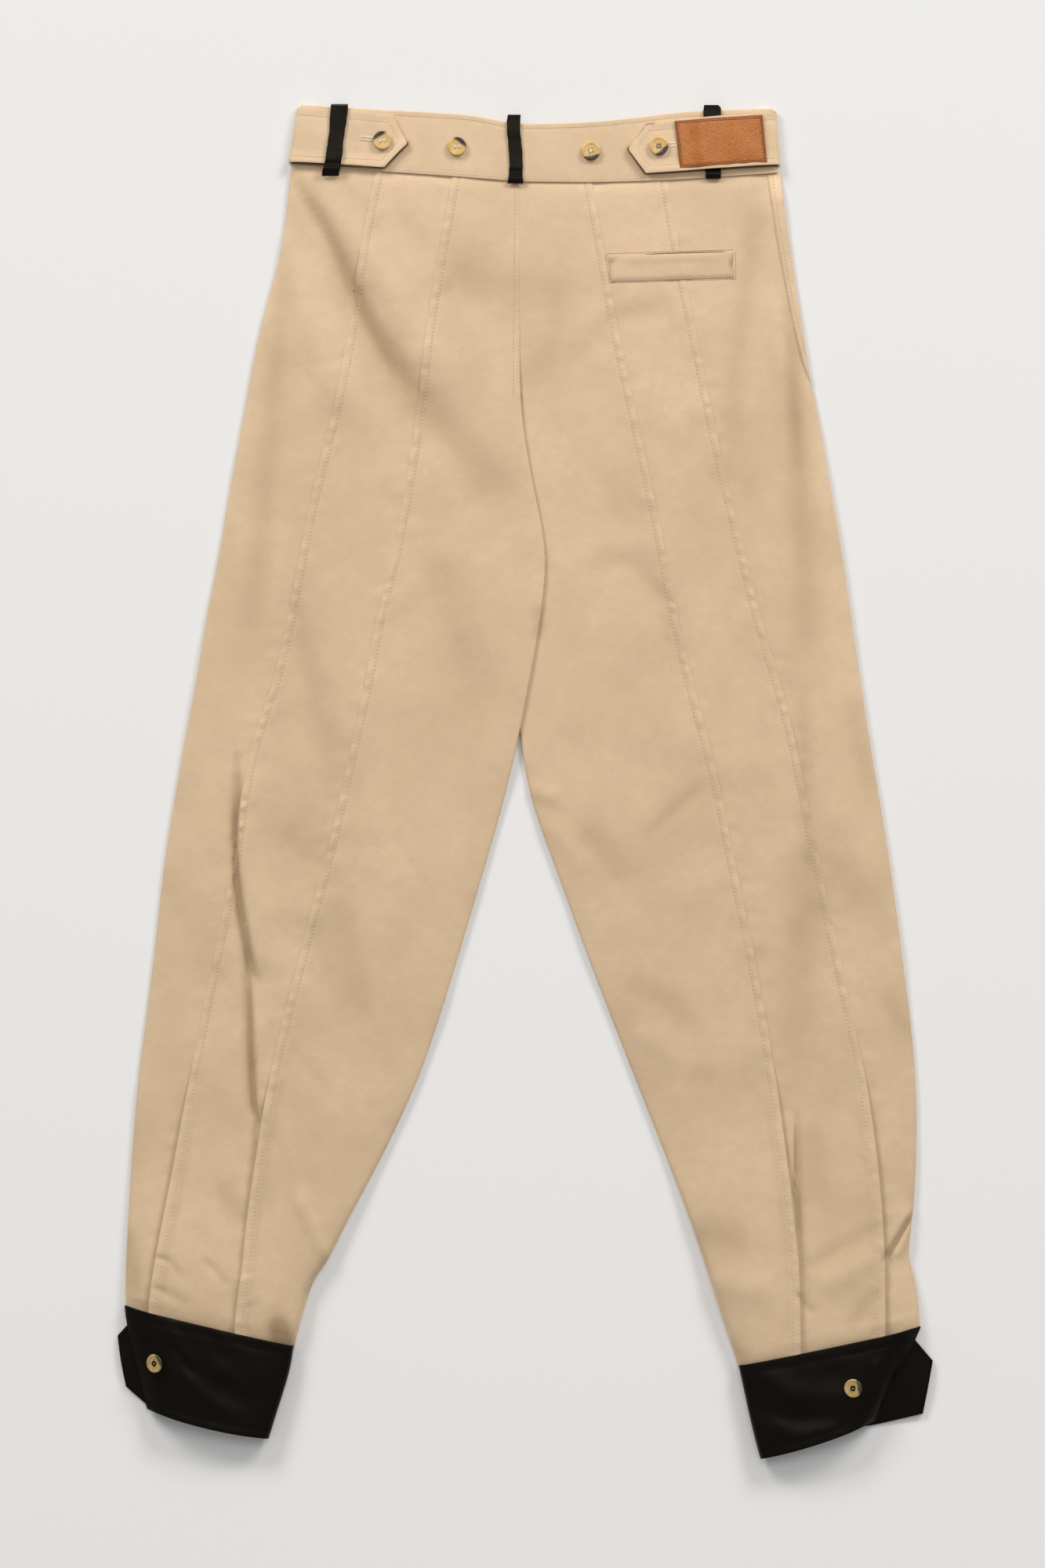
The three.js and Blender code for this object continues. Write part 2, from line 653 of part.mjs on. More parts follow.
function addTab(name, side, under) {
  const sign = side === "left" ? -1 : 1;
  const ACROSS = 5;
  const columns = TABS[name].map(({ x, top, foot }) =>
    stripRow([x, top], [x, foot], even(ACROSS), under, BAND, 3),
  );
  // round the folded end of the waistband
  const bandRadius = BAND_EDGE / 2;
  const radius = bandRadius + 2 * GAP + BAND;
  for (const angle of [Math.PI / 2, degToRad(50), degToRad(15), -TAB_REACH_DOWN]) {
    const last = TABS[name][TABS[name].length - 1];
    columns.push(
      even(ACROSS).map((share) => {
        const y = lerp(last.top, last.foot, share) + 0.6;
        const t = (curveY(WAIST_TOP, sign * 190) - y) / (curveY(WAIST_TOP, sign * 190) - curveY(WAIST_SEAM, sign * 190));
        const centre = lerp(WAIST_ENDS[side].top, WAIST_ENDS[side].seam, clamp(t, 0, 1)) - sign * bandRadius;
        return new THREE.Vector3(
          centre + sign * radius * Math.cos(angle),
          y,
          bandRadius + radius * Math.sin(angle),
        );
      }),
    );
  }
  if (side === "left") columns.reverse();
  const rows = even(ACROSS).map((_, r) => columns.map((column) => column[r]));
  add(name, wallGeometry(rows, BAND), TWILL);
}
addTab("tab_right", "right", ["waistband_back", "loop_right"]);
addTab("tab_left", "left", ["waistband_back"]);
addLoop("loop_left", ["waistband_back", "tab_left", "back_left"]);

// A sheet between four corners, lying on the pieces named in under.
function addSheet(name, corners, [rows, columns], under, wall, finish) {
  const [topLeft, topRight, footLeft, footRight] = corners;
  const grid = even(rows).map((share) => {
    const left = [lerp(topLeft[0], footLeft[0], share), lerp(topLeft[1], footLeft[1], share)];
    const right = [lerp(topRight[0], footRight[0], share), lerp(topRight[1], footRight[1], share)];
    return stripRow(left, right, even(columns), under, wall, 3);
  });
  add(name, wallGeometry(grid, wall), finish);
}
const PATCH_CORNERS = [[116, 512.6], [184.2, 517.5], [120.2, 475.8], [187.8, 480.6]];
addSheet("patch", PATCH_CORNERS, [5, 12], ["tab_right"], PATCH, TAN);
const WELT_CORNERS = [[64.2, 408], [161.6, 411], [67.2, 388], [162.2, 391]];
addSheet("pocket_welt", WELT_CORNERS, [4, 16], ["back_right"], CLOTH, TWILL);

// ---- cuffs: a strip from its outer end over the top, round the inner fold and back along the floor, where it
// ends in a tab. Rows run from the hem of the leg to the cuff's own edge.
const CUFF_COLUMNS = ["outerX", "outerY", "innerX", "innerY", "tabX", "tabY", "lift", "height", "bow"];
const CUFFS = {
  left: table(CUFF_COLUMNS, [
    [-311.5, -407.4, -179.2, -438.5, -299, -411, 0, 15, 0.5],
    [-309.4, -425, -181.5, -455.5, -317, -431, 1, 15.5, 1.2],
    [-304.5, -445, -187, -474, -315, -450, 2, 16, 1.8],
    [-298.9, -466, -193.2, -493, -310.5, -470.5, 1, 16.5, 2.4],
    [-294, -487.7, -198.5, -510.5, -287, -491, 0, 17, 3],
  ]),
  right: table(CUFF_COLUMNS, [
    [307.6, -423.9, 165.2, -453.8, 297, -427, 0, 15, 0.5],
    [300.5, -440, 168.7, -470, 317, -450.5, 1.5, 15.5, 1],
    [291, -459, 172.6, -488.5, 313.6, -470, 3, 16, 1.5],
    [281.5, -478, 176.9, -507.5, 309.3, -491.5, 1.5, 16.5, 2],
    [271.5, -497, 182, -526.2, 268, -500.5, 0, 17, 2.5],
  ]),
};
const CUFF_END = 5; // height at the outer end of the upper half
const CUFF_RISE = 24; // width over which it rises to its full height
const CUFF_FOLD = 0.8; // thickness of the inner fold, as a share of the full height
const CUFF_ROLL = 26;

function cuffRow(row, side) {
  const outer = new THREE.Vector2(row.outerX, row.outerY);
  const inner = new THREE.Vector2(row.innerX, row.innerY);
  const length = outer.distanceTo(inner);
  const radius = (row.height * CUFF_FOLD) / 2;
  const at = (along, z) => {
    const p = outer.clone().lerp(inner, along / length);
    const bow = row.bow * Math.sin(Math.PI * clamp(along / length, 0, 1));
    return new THREE.Vector3(p.x, p.y - bow, z);
  };
  const top = (along) => {
    const start = lerp(CUFF_END, row.height, Math.sin((Math.PI / 2) * clamp(along / CUFF_RISE, 0, 1)));
    return lerp(2 * radius, start, rise(length - radius - along, CUFF_ROLL));
  };
  const over = [0, 0.12, 0.3, 0.6, 1].map((share) => share * CUFF_RISE);
  const flat = length - radius - CUFF_RISE;
  for (const share of [0.2, 0.45, 0.7, 0.85, 1]) over.push(CUFF_RISE + share * flat);
  const points = over.map((along) => at(along, top(along)));
  for (const angle of [45, 90, 135].map(degToRad)) {
    points.push(at(length - radius + radius * Math.sin(angle), radius + radius * Math.cos(angle)));
  }
  for (const share of [1, 0.7, 0.4, 0.15]) points.push(at(share * (length - radius), 0));
  const sign = side === "left" ? -1 : 1;
  const last = points[points.length - 1];
  const tab = new THREE.Vector3(row.tabX, row.tabY, row.lift);
  points.push(last.clone().lerp(tab, 0.55).setZ(row.lift * 0.3), tab);
  return sign < 0 ? points : points.reverse();
}
for (const side of ["left", "right"]) {
  const rows = CUFFS[side].map((row) => cuffRow(row, side));
  add(`cuff_${side}`, wallGeometry(rows, LEATHER), BLACK);
}

// ---- buttons: a dished disc with four holes
const BUTTON = { diameter: 14, height: 3, rim: 1.6, dish: 0.9, hole: 1.7, spread: 1.7 };
const BUTTON_SIDES = 24;

function buttonGeometry() {
  const { diameter, height, rim, dish, hole, spread } = BUTTON;
  const r = diameter / 2;
  const profile = [
    [0, 0],
    [r - 1.6, 0],
    [r, height * 0.5],
    [r - 0.4, height - 0.4],
    [r - 1, height],
    [r - rim, height - 0.2],
    [r - rim - 1, height - dish],
    [0, height - dish],
  ].map(([x, y]) => new THREE.Vector2(x, y));
  const disc = new THREE.LatheGeometry(profile, BUTTON_SIDES).rotateX(Math.PI / 2);
  let solid = toManifold(disc);
  for (const [x, y] of [[-1, -1], [1, -1], [-1, 1], [1, 1]]) {
    const drill = new THREE.CylinderGeometry(hole / 2, hole / 2, 3 * height, 6).rotateX(Math.PI / 2);
    solid = solid.subtract(toManifold(drill.translate(x * spread, y * spread, height / 2)));
  }
  return fromManifold(solid);
}
const BUTTONS = table(["name", "x", "y", "turn", "on"], [
  ["button_tab_left", -111, 497.5, 10, "tab_left"],
  ["button_band_left", -53, 493, 0, "waistband_back"],
  ["button_band_right", 51, 489.5, 20, "waistband_back"],
  ["button_tab_right", 103.7, 493.2, 0, "tab_right"],
  ["button_cuff_left", -286.5, -451, 40, "cuff_left"],
  ["button_cuff_right", 254.5, -470, -50, "cuff_right"],
]);

for (const { name, x, y, turn, on } of BUTTONS) {
  const mesh = add(name, buttonGeometry(), HORN);
  // lies along the slope of what carries it
  const reach = BUTTON.diameter / 2;
  const height = (dx, dy) => heightOver([on], x + dx, y + dy);
  const slopeX = (height(reach, 0) - height(-reach, 0)) / (2 * reach);
  const slopeY = (height(0, reach) - height(0, -reach)) / (2 * reach);
  const up = new THREE.Vector3(-slopeX, -slopeY, 1).normalize();
  mesh.quaternion.setFromUnitVectors(new THREE.Vector3(0, 0, 1), up);
  mesh.rotateZ(degToRad(turn));
  let seat = 0;
  for (let angle = 0; angle < 2 * Math.PI; angle += Math.PI / 8) {
    for (const r of [0, reach / 2, reach - 1.6]) {
      const [dx, dy] = [r * Math.cos(angle), r * Math.sin(angle)];
      seat = Math.max(seat, height(dx, dy) - slopeX * dx - slopeY * dy);
    }
  }
  mesh.position.set(x, y, seat + GAP / up.z);
}

export default garment;
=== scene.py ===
# %% [markdown]
# # Gaucho trousers laid flat, back side up
# The garment is cream cotton twill: three back panels to each leg, a wide waistband with two pointed adjuster tabs,
# a welt pocket, black leather loops and cuffs, horn buttons and a plain tan leather patch.
# Every piece is already there as a plain solid, at its real size. This lesson dresses those solids: each one is
# copied, made fine, creased and stitched, and given a finish.

# %% The frame
import math

import bmesh
import bpy
import numpy as np
from mathutils import Matrix, Vector
from mathutils.bvhtree import BVHTree


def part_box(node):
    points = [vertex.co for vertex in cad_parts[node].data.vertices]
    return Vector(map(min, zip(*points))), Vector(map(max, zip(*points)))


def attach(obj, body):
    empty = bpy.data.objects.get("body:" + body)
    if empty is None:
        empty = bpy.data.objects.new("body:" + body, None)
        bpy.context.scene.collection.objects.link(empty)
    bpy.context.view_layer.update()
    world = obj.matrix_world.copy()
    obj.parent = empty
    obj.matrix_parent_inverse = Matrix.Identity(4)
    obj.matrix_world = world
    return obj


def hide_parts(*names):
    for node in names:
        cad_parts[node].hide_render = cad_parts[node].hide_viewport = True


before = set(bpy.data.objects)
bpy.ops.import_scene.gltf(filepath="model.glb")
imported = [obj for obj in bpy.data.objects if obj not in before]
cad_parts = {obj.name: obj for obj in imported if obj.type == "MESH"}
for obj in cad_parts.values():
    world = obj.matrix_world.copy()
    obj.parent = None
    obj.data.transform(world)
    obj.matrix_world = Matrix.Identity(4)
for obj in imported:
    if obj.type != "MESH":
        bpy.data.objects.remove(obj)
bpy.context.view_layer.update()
MM = 0.001

# %% [markdown]
# The garment is seen from straight above with a long lens, so that its outline is true. A lens of about 118 mm, four
# metres up, takes in 1.22 m of floor along the legs.

# %% The camera
VIEW_LENGTH = 1.22
VIEW_CENTRE = (-2.1 * MM, -2.1 * MM)
CAMERA_HEIGHT = 4.0
lens_data = bpy.data.cameras.new("camera")
lens_data.sensor_width = 36
lens_data.lens = lens_data.sensor_width * CAMERA_HEIGHT / VIEW_LENGTH
camera = bpy.data.objects.new("camera", lens_data)
camera.location = (*VIEW_CENTRE, CAMERA_HEIGHT)
bpy.context.scene.collection.objects.link(camera)
bpy.context.scene.camera = camera
bpy.context.scene.view_settings.view_transform = "Standard"
print(f"lens {lens_data.lens:.1f} mm")

# %% [markdown]
# Soft light comes from two wide boxes beyond the waist, one on either side, and from a pale room. Low boxes make
# shallow folds show; the pale room keeps their shadows open.


# %% Light
def soft_box(name, place, size, power):
    """A wide lamp at place that faces the middle of the garment."""
    lamp = bpy.data.lights.new(name, "AREA")
    lamp.shape = "RECTANGLE"
    lamp.size, lamp.size_y = size
    lamp.energy = power
    lamp.color = (1.0, 0.985, 0.965)
    box = bpy.data.objects.new(name, lamp)
    box.location = place
    box.rotation_euler = (-Vector(place)).to_track_quat("-Z", "Y").to_euler()
    bpy.context.scene.collection.objects.link(box)


soft_box("softbox_left", (-2.5, 3.3, 2.0), (2.0, 1.1), 122)
soft_box("softbox_right", (2.4, 3.3, 2.0), (2.0, 1.1), 116)
soft_box("softbox_top", (0.35, 1.3, 3.4), (1.6, 1.6), 22)

room = bpy.data.worlds.new("pale room")
room.use_nodes = True
room.node_tree.nodes["Background"].inputs["Color"].default_value = (0.97, 0.985, 1.0, 1.0)
room.node_tree.nodes["Background"].inputs["Strength"].default_value = 0.34
bpy.context.scene.world = room
print("lamps:", [lamp.name for lamp in bpy.data.lights])

# %% [markdown]
# A finish is a set of shader nodes. This helper makes a material and hands back a short way of adding nodes to it:
# `add("TexNoise", {"Scale": 5})` adds a noise texture, and a socket given as a value is linked. `give` does the same
# for a node that is already there.


# %% Starting a finish
def start_finish(name):
    """A new material, its shader, a function that adds one node, and one that fills in a node's inputs."""
    material = bpy.data.materials.new(name)
    material.use_nodes = True
    tree = material.node_tree

    def give(node, values):
        for key, value in values.items():
            if isinstance(value, bpy.types.NodeSocket):
                tree.links.new(value, node.inputs[key])
            else:
                node.inputs[key].default_value = value

    def add(kind, values=None, **settings):
        node = tree.nodes.new("ShaderNode" + kind)
        for key, value in settings.items():
            setattr(node, key, value)
        give(node, values or {})
        return node

    return material, tree.nodes["Principled BSDF"], add, give


def mixed(add, amount, one, other):
    """The colour between one and other. A Mix node's colours are its inputs 6 and 7, and its output 2."""
    node = add("Mix", data_type="RGBA")
    tree = node.id_data
    for index, value in ((0, amount), (6, one), (7, other)):
        if isinstance(value, bpy.types.NodeSocket):
            tree.links.new(value, node.inputs[index])
        elif index and len(value) == 3:
            node.inputs[index].default_value = (*value, 1.0)
        else:
            node.inputs[index].default_value = value
    return node.outputs[2]


def stepped(add, value, low, high, to_low=0.0, to_high=1.0):
    """value stretched from the range low to high to another range, and held there."""
    node = add("MapRange", {"Value": value, "From Min": low, "From Max": high, "To Min": to_low, "To Max": to_high})
    return node.outputs["Result"]


print("materials before the first finish:", len(bpy.data.materials))

# %% [markdown]
# The floor is a wide sheet of pale paper. Its colour carries a painted shade, a little darker towards the waist,
# where the lamps stand.

# %% The floor
FLOOR_HALF = 4.0
PALE_END, DARK_END = -0.65, 0.65  # along the legs, in metres

floor_mesh = bpy.data.meshes.new("floor")
shape = bmesh.new()
bmesh.ops.create_grid(shape, x_segments=2, y_segments=2, size=FLOOR_HALF)
shape.to_mesh(floor_mesh)
shape.free()
floor = bpy.data.objects.new("floor", floor_mesh)
bpy.context.scene.collection.objects.link(floor)
paper, shader, add, give = start_finish("pale paper")
along = add("SeparateXYZ", {"Vector": add("TexCoord").outputs["Object"]}).outputs["Y"]
# painted shade: the paper's colour darkens towards the waist
white = mixed(add, stepped(add, along, PALE_END, DARK_END), (0.93, 0.917, 0.900), (0.745, 0.738, 0.730))
give(shader, {"Base Color": white, "Roughness": 0.9, "Specular IOR Level": 0.1})
floor_mesh.materials.append(paper)
print("floor of", round(floor.dimensions.x, 1), "m")

# %% [markdown]
# Cotton twill has a slightly uneven dye and small flecks of seed husk. The pattern follows each panel's own grain, so
# it reads an attribute, `grain`, that holds the place on the panel in millimetres.

# %% Dye, threads and flecks
DUSTY = (0.60, 0.43, 0.27)
BETWEEN_THREADS = (0.42, 0.29, 0.17)
HUSK = (0.22, 0.13, 0.06)


def clean_cloth(add, grain, cloudy, threads, light, shade):
    """Cloth before its painted shade: light and shade in broad clouds, darker between threads, flecked with husk."""
    broad = add("TexNoise", {"Vector": grain, "Scale": 0.012, "Detail": 3.0, "Roughness": 0.55}).outputs["Fac"]
    colour = mixed(add, stepped(add, broad, 0.35, 0.68), light, shade)
    colour = mixed(add, stepped(add, cloudy, 0.3, 0.7, 0.0, 0.35), colour, DUSTY)
    colour = mixed(add, stepped(add, threads, 0.3, 0.7, 0.0, 0.16), colour, BETWEEN_THREADS)
    cells = add("TexVoronoi", {"Vector": grain, "Scale": 0.045, "Randomness": 1.0})
    fleck = stepped(add, cells.outputs["Distance"], 0.012, 0.022, 0.55, 0.0)
    return mixed(add, fleck, colour, HUSK)


# %% [markdown]
# Two more attributes darken and warm the cloth's colour with painted shade. One is high in the depth of creases,
# where it also holds some random mottle. The other paints shade along seams, and above 1 it marks narrow gaps that
# light hardly enters.

# %% Painted shade
# DEEPEST is the highest value of the painted crease shade.
DEEPEST = 2.2  # the highest value of `painted_shade_and_mottle`
CREASE_SHADE = (0.36, 0.24, 0.13)
SEAM_SHADE = (0.36, 0.235, 0.13)
GAP_SHADE = (0.085, 0.052, 0.030)


def with_painted_shade(add, colour):
    """The colour with painted shade in its creases, along its seams and in its gaps."""
    painted_shade_and_mottle = add("Attribute", attribute_name="painted_shade_and_mottle").outputs["Fac"]
    colour = mixed(add, stepped(add, painted_shade_and_mottle, 0.0, DEEPEST, 0.0, 0.85), colour, CREASE_SHADE)
    wear_and_painted_shade = add("Attribute", attribute_name="wear_and_painted_shade").outputs["Fac"]
    colour = mixed(add, stepped(add, wear_and_painted_shade, 0.0, 1.0, 0.0, 0.5), colour, SEAM_SHADE)
    return mixed(add, stepped(add, wear_and_painted_shade, 1.0, 2.0, 0.0, 0.85), colour, GAP_SHADE)


# %% [markdown]
# A twill weave shows as a fine diagonal rib. Waves make the rib, and long thin noise the threads across it, because a
# perfectly even rib would shimmer.


# %% Twill
def twill_finish(name, light, shade):
    """Ribbed cotton between two colours."""
    material, shader, add, give = start_finish(name)
    grain = add("Attribute", attribute_name="grain").outputs["Vector"]
    turned = add("Mapping", {"Vector": grain, "Rotation": (0, 0, math.radians(45)), "Scale": (2.2, 0.5, 1.0)})
    cloudy = add("TexNoise", {"Vector": grain, "Scale": 0.11, "Detail": 4.0, "Roughness": 0.6}).outputs["Fac"]
    threads = add("TexNoise", {"Vector": turned.outputs["Vector"], "Scale": 1.0, "Detail": 2.0}).outputs["Fac"]
    rib = add("TexWave", {"Vector": turned.outputs["Vector"], "Scale": 0.35, "Distortion": 2.0, "Detail": 1.0})
    height = add("Math", {0: threads, 1: rib.outputs["Fac"]}, operation="ADD").outputs["Value"]
    weave = add("Bump", {"Height": height, "Strength": 0.11, "Distance": 0.12 * MM}).outputs["Normal"]
    felt = add("Bump", {"Height": cloudy, "Strength": 0.35, "Distance": 0.6 * MM, "Normal": weave})
    colour = with_painted_shade(add, clean_cloth(add, grain, cloudy, threads, light, shade))
    give(shader, {"Base Color": colour, "Roughness": stepped(add, threads, 0.2, 0.8, 0.78, 0.94)})
    give(shader, {"Normal": felt.outputs["Normal"], "Specular IOR Level": 0.25})
    give(shader, {"Sheen Weight": 0.12, "Sheen Roughness": 0.5, "Sheen Tint": (1.0, 0.93, 0.82, 1.0)})
    return material


twill = twill_finish("twill", (0.760, 0.560, 0.362), (0.665, 0.485, 0.307))
# a dark twill that paints the shade inside the pocket's slit
pocket_shade = twill_finish("twill in shade", (0.16, 0.10, 0.055), (0.12, 0.075, 0.04))
print("twill:", len(twill.node_tree.nodes), "nodes")

# %% [markdown]
# The black leather is a smooth coated one: nearly black, with a fine grain that only its soft gloss shows. The patch
# is tan, pebbled, and burnished darker along its edges. Both grains are small cells: Voronoi distances make them.


# %% Leathers
def leather_finish(name, colours, grain_size, depth, rough, edge_colour, gloss):
    """Leather of two colours, with cells of grain_size for its grain and another colour along its edges."""
    material, shader, add, give = start_finish(name)
    place = add("TexCoord").outputs["Object"]
    cells = add("TexVoronoi", {"Vector": place, "Scale": 1 / grain_size, "Randomness": 0.9}, feature="SMOOTH_F1")
    lumps = cells.outputs["Distance"]
    broad = add("TexNoise", {"Vector": place, "Scale": 45.0, "Detail": 4.0}).outputs["Fac"]
    fine = add("TexNoise", {"Vector": place, "Scale": 1.6 / grain_size, "Detail": 3.0}).outputs["Fac"]
    base = mixed(add, stepped(add, broad, 0.35, 0.65), *colours)
    grained = mixed(add, stepped(add, lumps, 0.15, 0.75, 0.0, 0.5), base, edge_colour)
    edge = add("Attribute", attribute_name="wear_and_painted_shade").outputs["Fac"]
    final = mixed(add, edge, grained, edge_colour)
    pebbles = add("Bump", {"Height": lumps, "Strength": 0.8, "Distance": depth}, invert=True).outputs["Normal"]
    skin = add("Bump", {"Height": fine, "Strength": 0.5, "Distance": depth * 0.5, "Normal": pebbles})
    give(shader, {"Base Color": final, "Roughness": stepped(add, fine, 0.3, 0.7, *rough)})
    give(shader, {"Normal": skin.outputs["Normal"], "Specular IOR Level": gloss})
    give(shader, {"Specular Tint": (1.0, 0.86, 0.72, 1.0)})
    return material


black_leather = leather_finish(
    "black leather", [(0.0034, 0.0025, 0.0018), (0.0024, 0.0018, 0.0013)], 0.9 * MM, 0.03 * MM, (0.32, 0.42),
    (0.002, 0.0015, 0.001), 0.15,
)
tan_leather = leather_finish(
    "tan leather", [(0.53, 0.186, 0.042), (0.42, 0.130, 0.024)], 1.3 * MM, 0.3 * MM, (0.26, 0.42),
    (0.23, 0.062, 0.012), 0.5,
)
print("leathers:", black_leather.name, "and", tan_leather.name)

# %% [markdown]
# Horn buttons are amber with a darker crescent on one side. The attribute `across` runs from 0 on the pale side of a
# button to 1 on the dark side; streaks of noise make the crescent uneven.


# %% Horn
def horn_finish(name, amber, pale, dark):
    """Polished horn, milky in streaks, with a crescent of the dark colour."""
    material, shader, add, give = start_finish(name)
    place = add("TexCoord").outputs["Object"]
    streak = add("TexNoise", {"Vector": place, "Scale": 260.0, "Detail": 3.0, "Distortion": 0.6}).outputs["Fac"]
    across = add("Attribute", attribute_name="across").outputs["Fac"]
    wobble = add("Math", {0: streak, 1: -0.5}, operation="ADD").outputs["Value"]
    shifted = add("Math", {0: wobble, 1: 0.22, 2: across}, operation="MULTIPLY_ADD").outputs["Value"]
    milky = mixed(add, stepped(add, streak, 0.38, 0.66), amber, pale)
    final = mixed(add, stepped(add, shifted, 0.69, 0.81), milky, dark)
    give(shader, {"Base Color": final, "Roughness": stepped(add, streak, 0.3, 0.7, 0.3, 0.45)})
    give(shader, {"Coat Weight": 0.12, "Coat Roughness": 0.25, "Subsurface Weight": 0.15})
    give(shader, {"Subsurface Scale": 1.2 * MM, "Subsurface Radius": (1.0, 0.6, 0.3)})
    return material


horn = horn_finish("horn", (0.60, 0.36, 0.085), (0.66, 0.47, 0.20), (0.035, 0.021, 0.012))
olive_horn = horn_finish("olive horn", (0.40, 0.27, 0.075), (0.52, 0.38, 0.16), (0.045, 0.026, 0.010))
print("horn: amber at the waist, olive on the cuffs, each of", len(horn.node_tree.nodes), "nodes")

# %% [markdown]
# The garment is sewn with twisted thread of several colours, from white at the buttonholes to black in the cuffs.
# Thread is never quite even, so its colour changes a little from stitch to stitch.


# %% Threads
def thread_finish(name, light, dark, sheen=0.2):
    """Twisted sewing thread between two colours."""
    material, shader, add, give = start_finish(name)
    place = add("TexCoord").outputs["Object"]
    twist = add("TexNoise", {"Vector": place, "Scale": 900.0, "Detail": 2.0}).outputs["Fac"]
    uneven = add("TexNoise", {"Vector": place, "Scale": 110.0, "Detail": 1.0}).outputs["Fac"]
    colour = mixed(add, stepped(add, uneven, 0.35, 0.65), light, dark)
    bump = add("Bump", {"Height": twist, "Strength": 0.5, "Distance": 0.1 * MM}).outputs["Normal"]
    final = mixed(add, stepped(add, twist, 0.3, 0.7, 0.0, 0.4), colour, dark)
    give(shader, {"Base Color": final, "Normal": bump, "Roughness": 0.7})
    give(shader, {"Sheen Weight": sheen, "Specular IOR Level": sheen})
    return material


pale_thread = thread_finish("pale thread", (0.84, 0.71, 0.53), (0.71, 0.54, 0.36))
tan_thread = thread_finish("tan thread", (0.70, 0.53, 0.36), (0.58, 0.42, 0.27))
brown_thread = thread_finish("brown thread", (0.22, 0.072, 0.020), (0.14, 0.044, 0.012), 0.05)
black_thread = thread_finish("black thread", (0.005, 0.004, 0.003), (0.003, 0.0025, 0.002), 0.03)
grey_thread = thread_finish("grey thread", (0.34, 0.28, 0.21), (0.22, 0.17, 0.12))
welt_thread = thread_finish("welt thread", (0.40, 0.28, 0.18), (0.30, 0.20, 0.12))
white_thread = thread_finish("white thread", (0.86, 0.80, 0.70), (0.70, 0.62, 0.50))
print("threads:", [name for name in bpy.data.materials.keys() if "thread" in name])

# %% [markdown]
# ## From a solid to cloth
# A solid is a coarse wall of triangles. Its copy is merged, and its triangles joined into the quads they were cut
# from, so that a Subdivision Surface runs smoothly over it. The rim where the wall ends is creased, which keeps the
# cut edge in place. `side` marks each face of the wall: 0 outside, 1 rim, 2 inside.

# %% Copying a solid
SHARP = math.radians(55)


def copy_solid(node):
    """A bmesh of a solid's quads, its rim creased and its faces marked by side."""
    shape = bmesh.new()
    shape.from_mesh(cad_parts[node].data)
    bmesh.ops.remove_doubles(shape, verts=shape.verts, dist=0.01 * MM)
    bmesh.ops.join_triangles(
        shape, faces=shape.faces, angle_face_threshold=math.pi, angle_shape_threshold=math.pi, topology_influence=2.0
    )
    creases = shape.edges.layers.float.new("crease_edge")
    for edge in shape.edges:
        if edge.calc_face_angle() > SHARP:
            edge[creases] = 1.0
    mark_sides(shape)
    return shape


def mark_sides(shape):
    """Marks the faces outside the wall with 0, its rim with 1 and the inside with 2."""
    side = shape.faces.layers.int.get("side") or shape.faces.layers.int.new("side")
    highest = max(shape.faces, key=lambda face: face.calc_center_median().z + face.normal.z * MM)
    outside = {highest}
    waiting = [highest]
    while waiting:
        for edge in waiting.pop().edges:
            if edge.calc_face_angle() < SHARP:
                fresh = [face for face in edge.link_faces if face not in outside]
                outside.update(fresh)
                waiting.extend(fresh)
    rim = {face for seen in outside for edge in seen.edges for face in edge.link_faces} - outside
    for face in shape.faces:
        face[side] = 0 if face in outside else 1 if face in rim else 2


def keep_corners(shape):
    """Creases the corners of a piece's outline, seen from above, so that they stay crisp."""
    corners = shape.verts.layers.float.new("crease_vert")
    side = shape.faces.layers.int["side"]
    for vert in shape.verts:
        rim = [f for f in vert.link_faces if f[side] == 1]
        if len(rim) == 2 and rim[0].normal.angle(rim[1].normal) > math.radians(20):
            vert[corners] = 1.0


print("quads in the left inner panel:", len(copy_solid("back_left_inner").faces))

# %% [markdown]
# A Subdivision Surface turns the coarse quads into a smooth surface. Where the cloth takes finer creases than that
# surface can hold, some of its edges are halved. The cut edge of a piece is rounded last, with a bevel.


# %% Smoothing and refining
def as_object(shape, name):
    """An object in the scene from a bmesh, which is used up."""
    mesh = bpy.data.meshes.new(name)
    shape.to_mesh(mesh)
    shape.free()
    obj = bpy.data.objects.new(name, mesh)
    bpy.context.scene.collection.objects.link(obj)
    return obj


def apply_modifiers(obj):
    """Makes a piece's modifiers part of its mesh."""
    graph = bpy.context.evaluated_depsgraph_get()
    mesh = bpy.data.meshes.new_from_object(obj.evaluated_get(graph))
    obj.modifiers.clear()
    obj.data = mesh
    mesh.name = obj.name


def smoothed(obj, levels):
    """The same piece, rounded by a Subdivision Surface."""
    surface = obj.modifiers.new("smooth", "SUBSURF")
    surface.levels = surface.render_levels = levels
    apply_modifiers(obj)
    for name in ("crease_edge", "crease_vert"):
        if name in obj.data.attributes:
            obj.data.attributes.remove(obj.data.attributes[name])
    return obj


def refine(obj, wanted):
    """Halves the edges of the outside that wanted(x, y, length, steep) picks, so that it can hold finer creases."""
    shape = bmesh.new()
    shape.from_mesh(obj.data)
    side = shape.faces.layers.int["side"]
    edges = [edge for edge in shape.edges if any(f[side] == 0 for f in edge.link_faces)]
    ends = np.array([[v.co[:] for v in edge.verts] for edge in edges]) / MM
    x, y = ends[:, :, :2].mean(1).T
    run = np.abs(ends[:, 0] - ends[:, 1])
    picked = wanted(x, y, np.hypot(run[:, 0], run[:, 1]), run[:, 1] > run[:, 0])
    bmesh.ops.subdivide_edges(
        shape, edges=[edge for edge, keep in zip(edges, picked) if keep], cuts=1, use_grid_fill=True
    )
    shape.to_mesh(obj.data)
    shape.free()


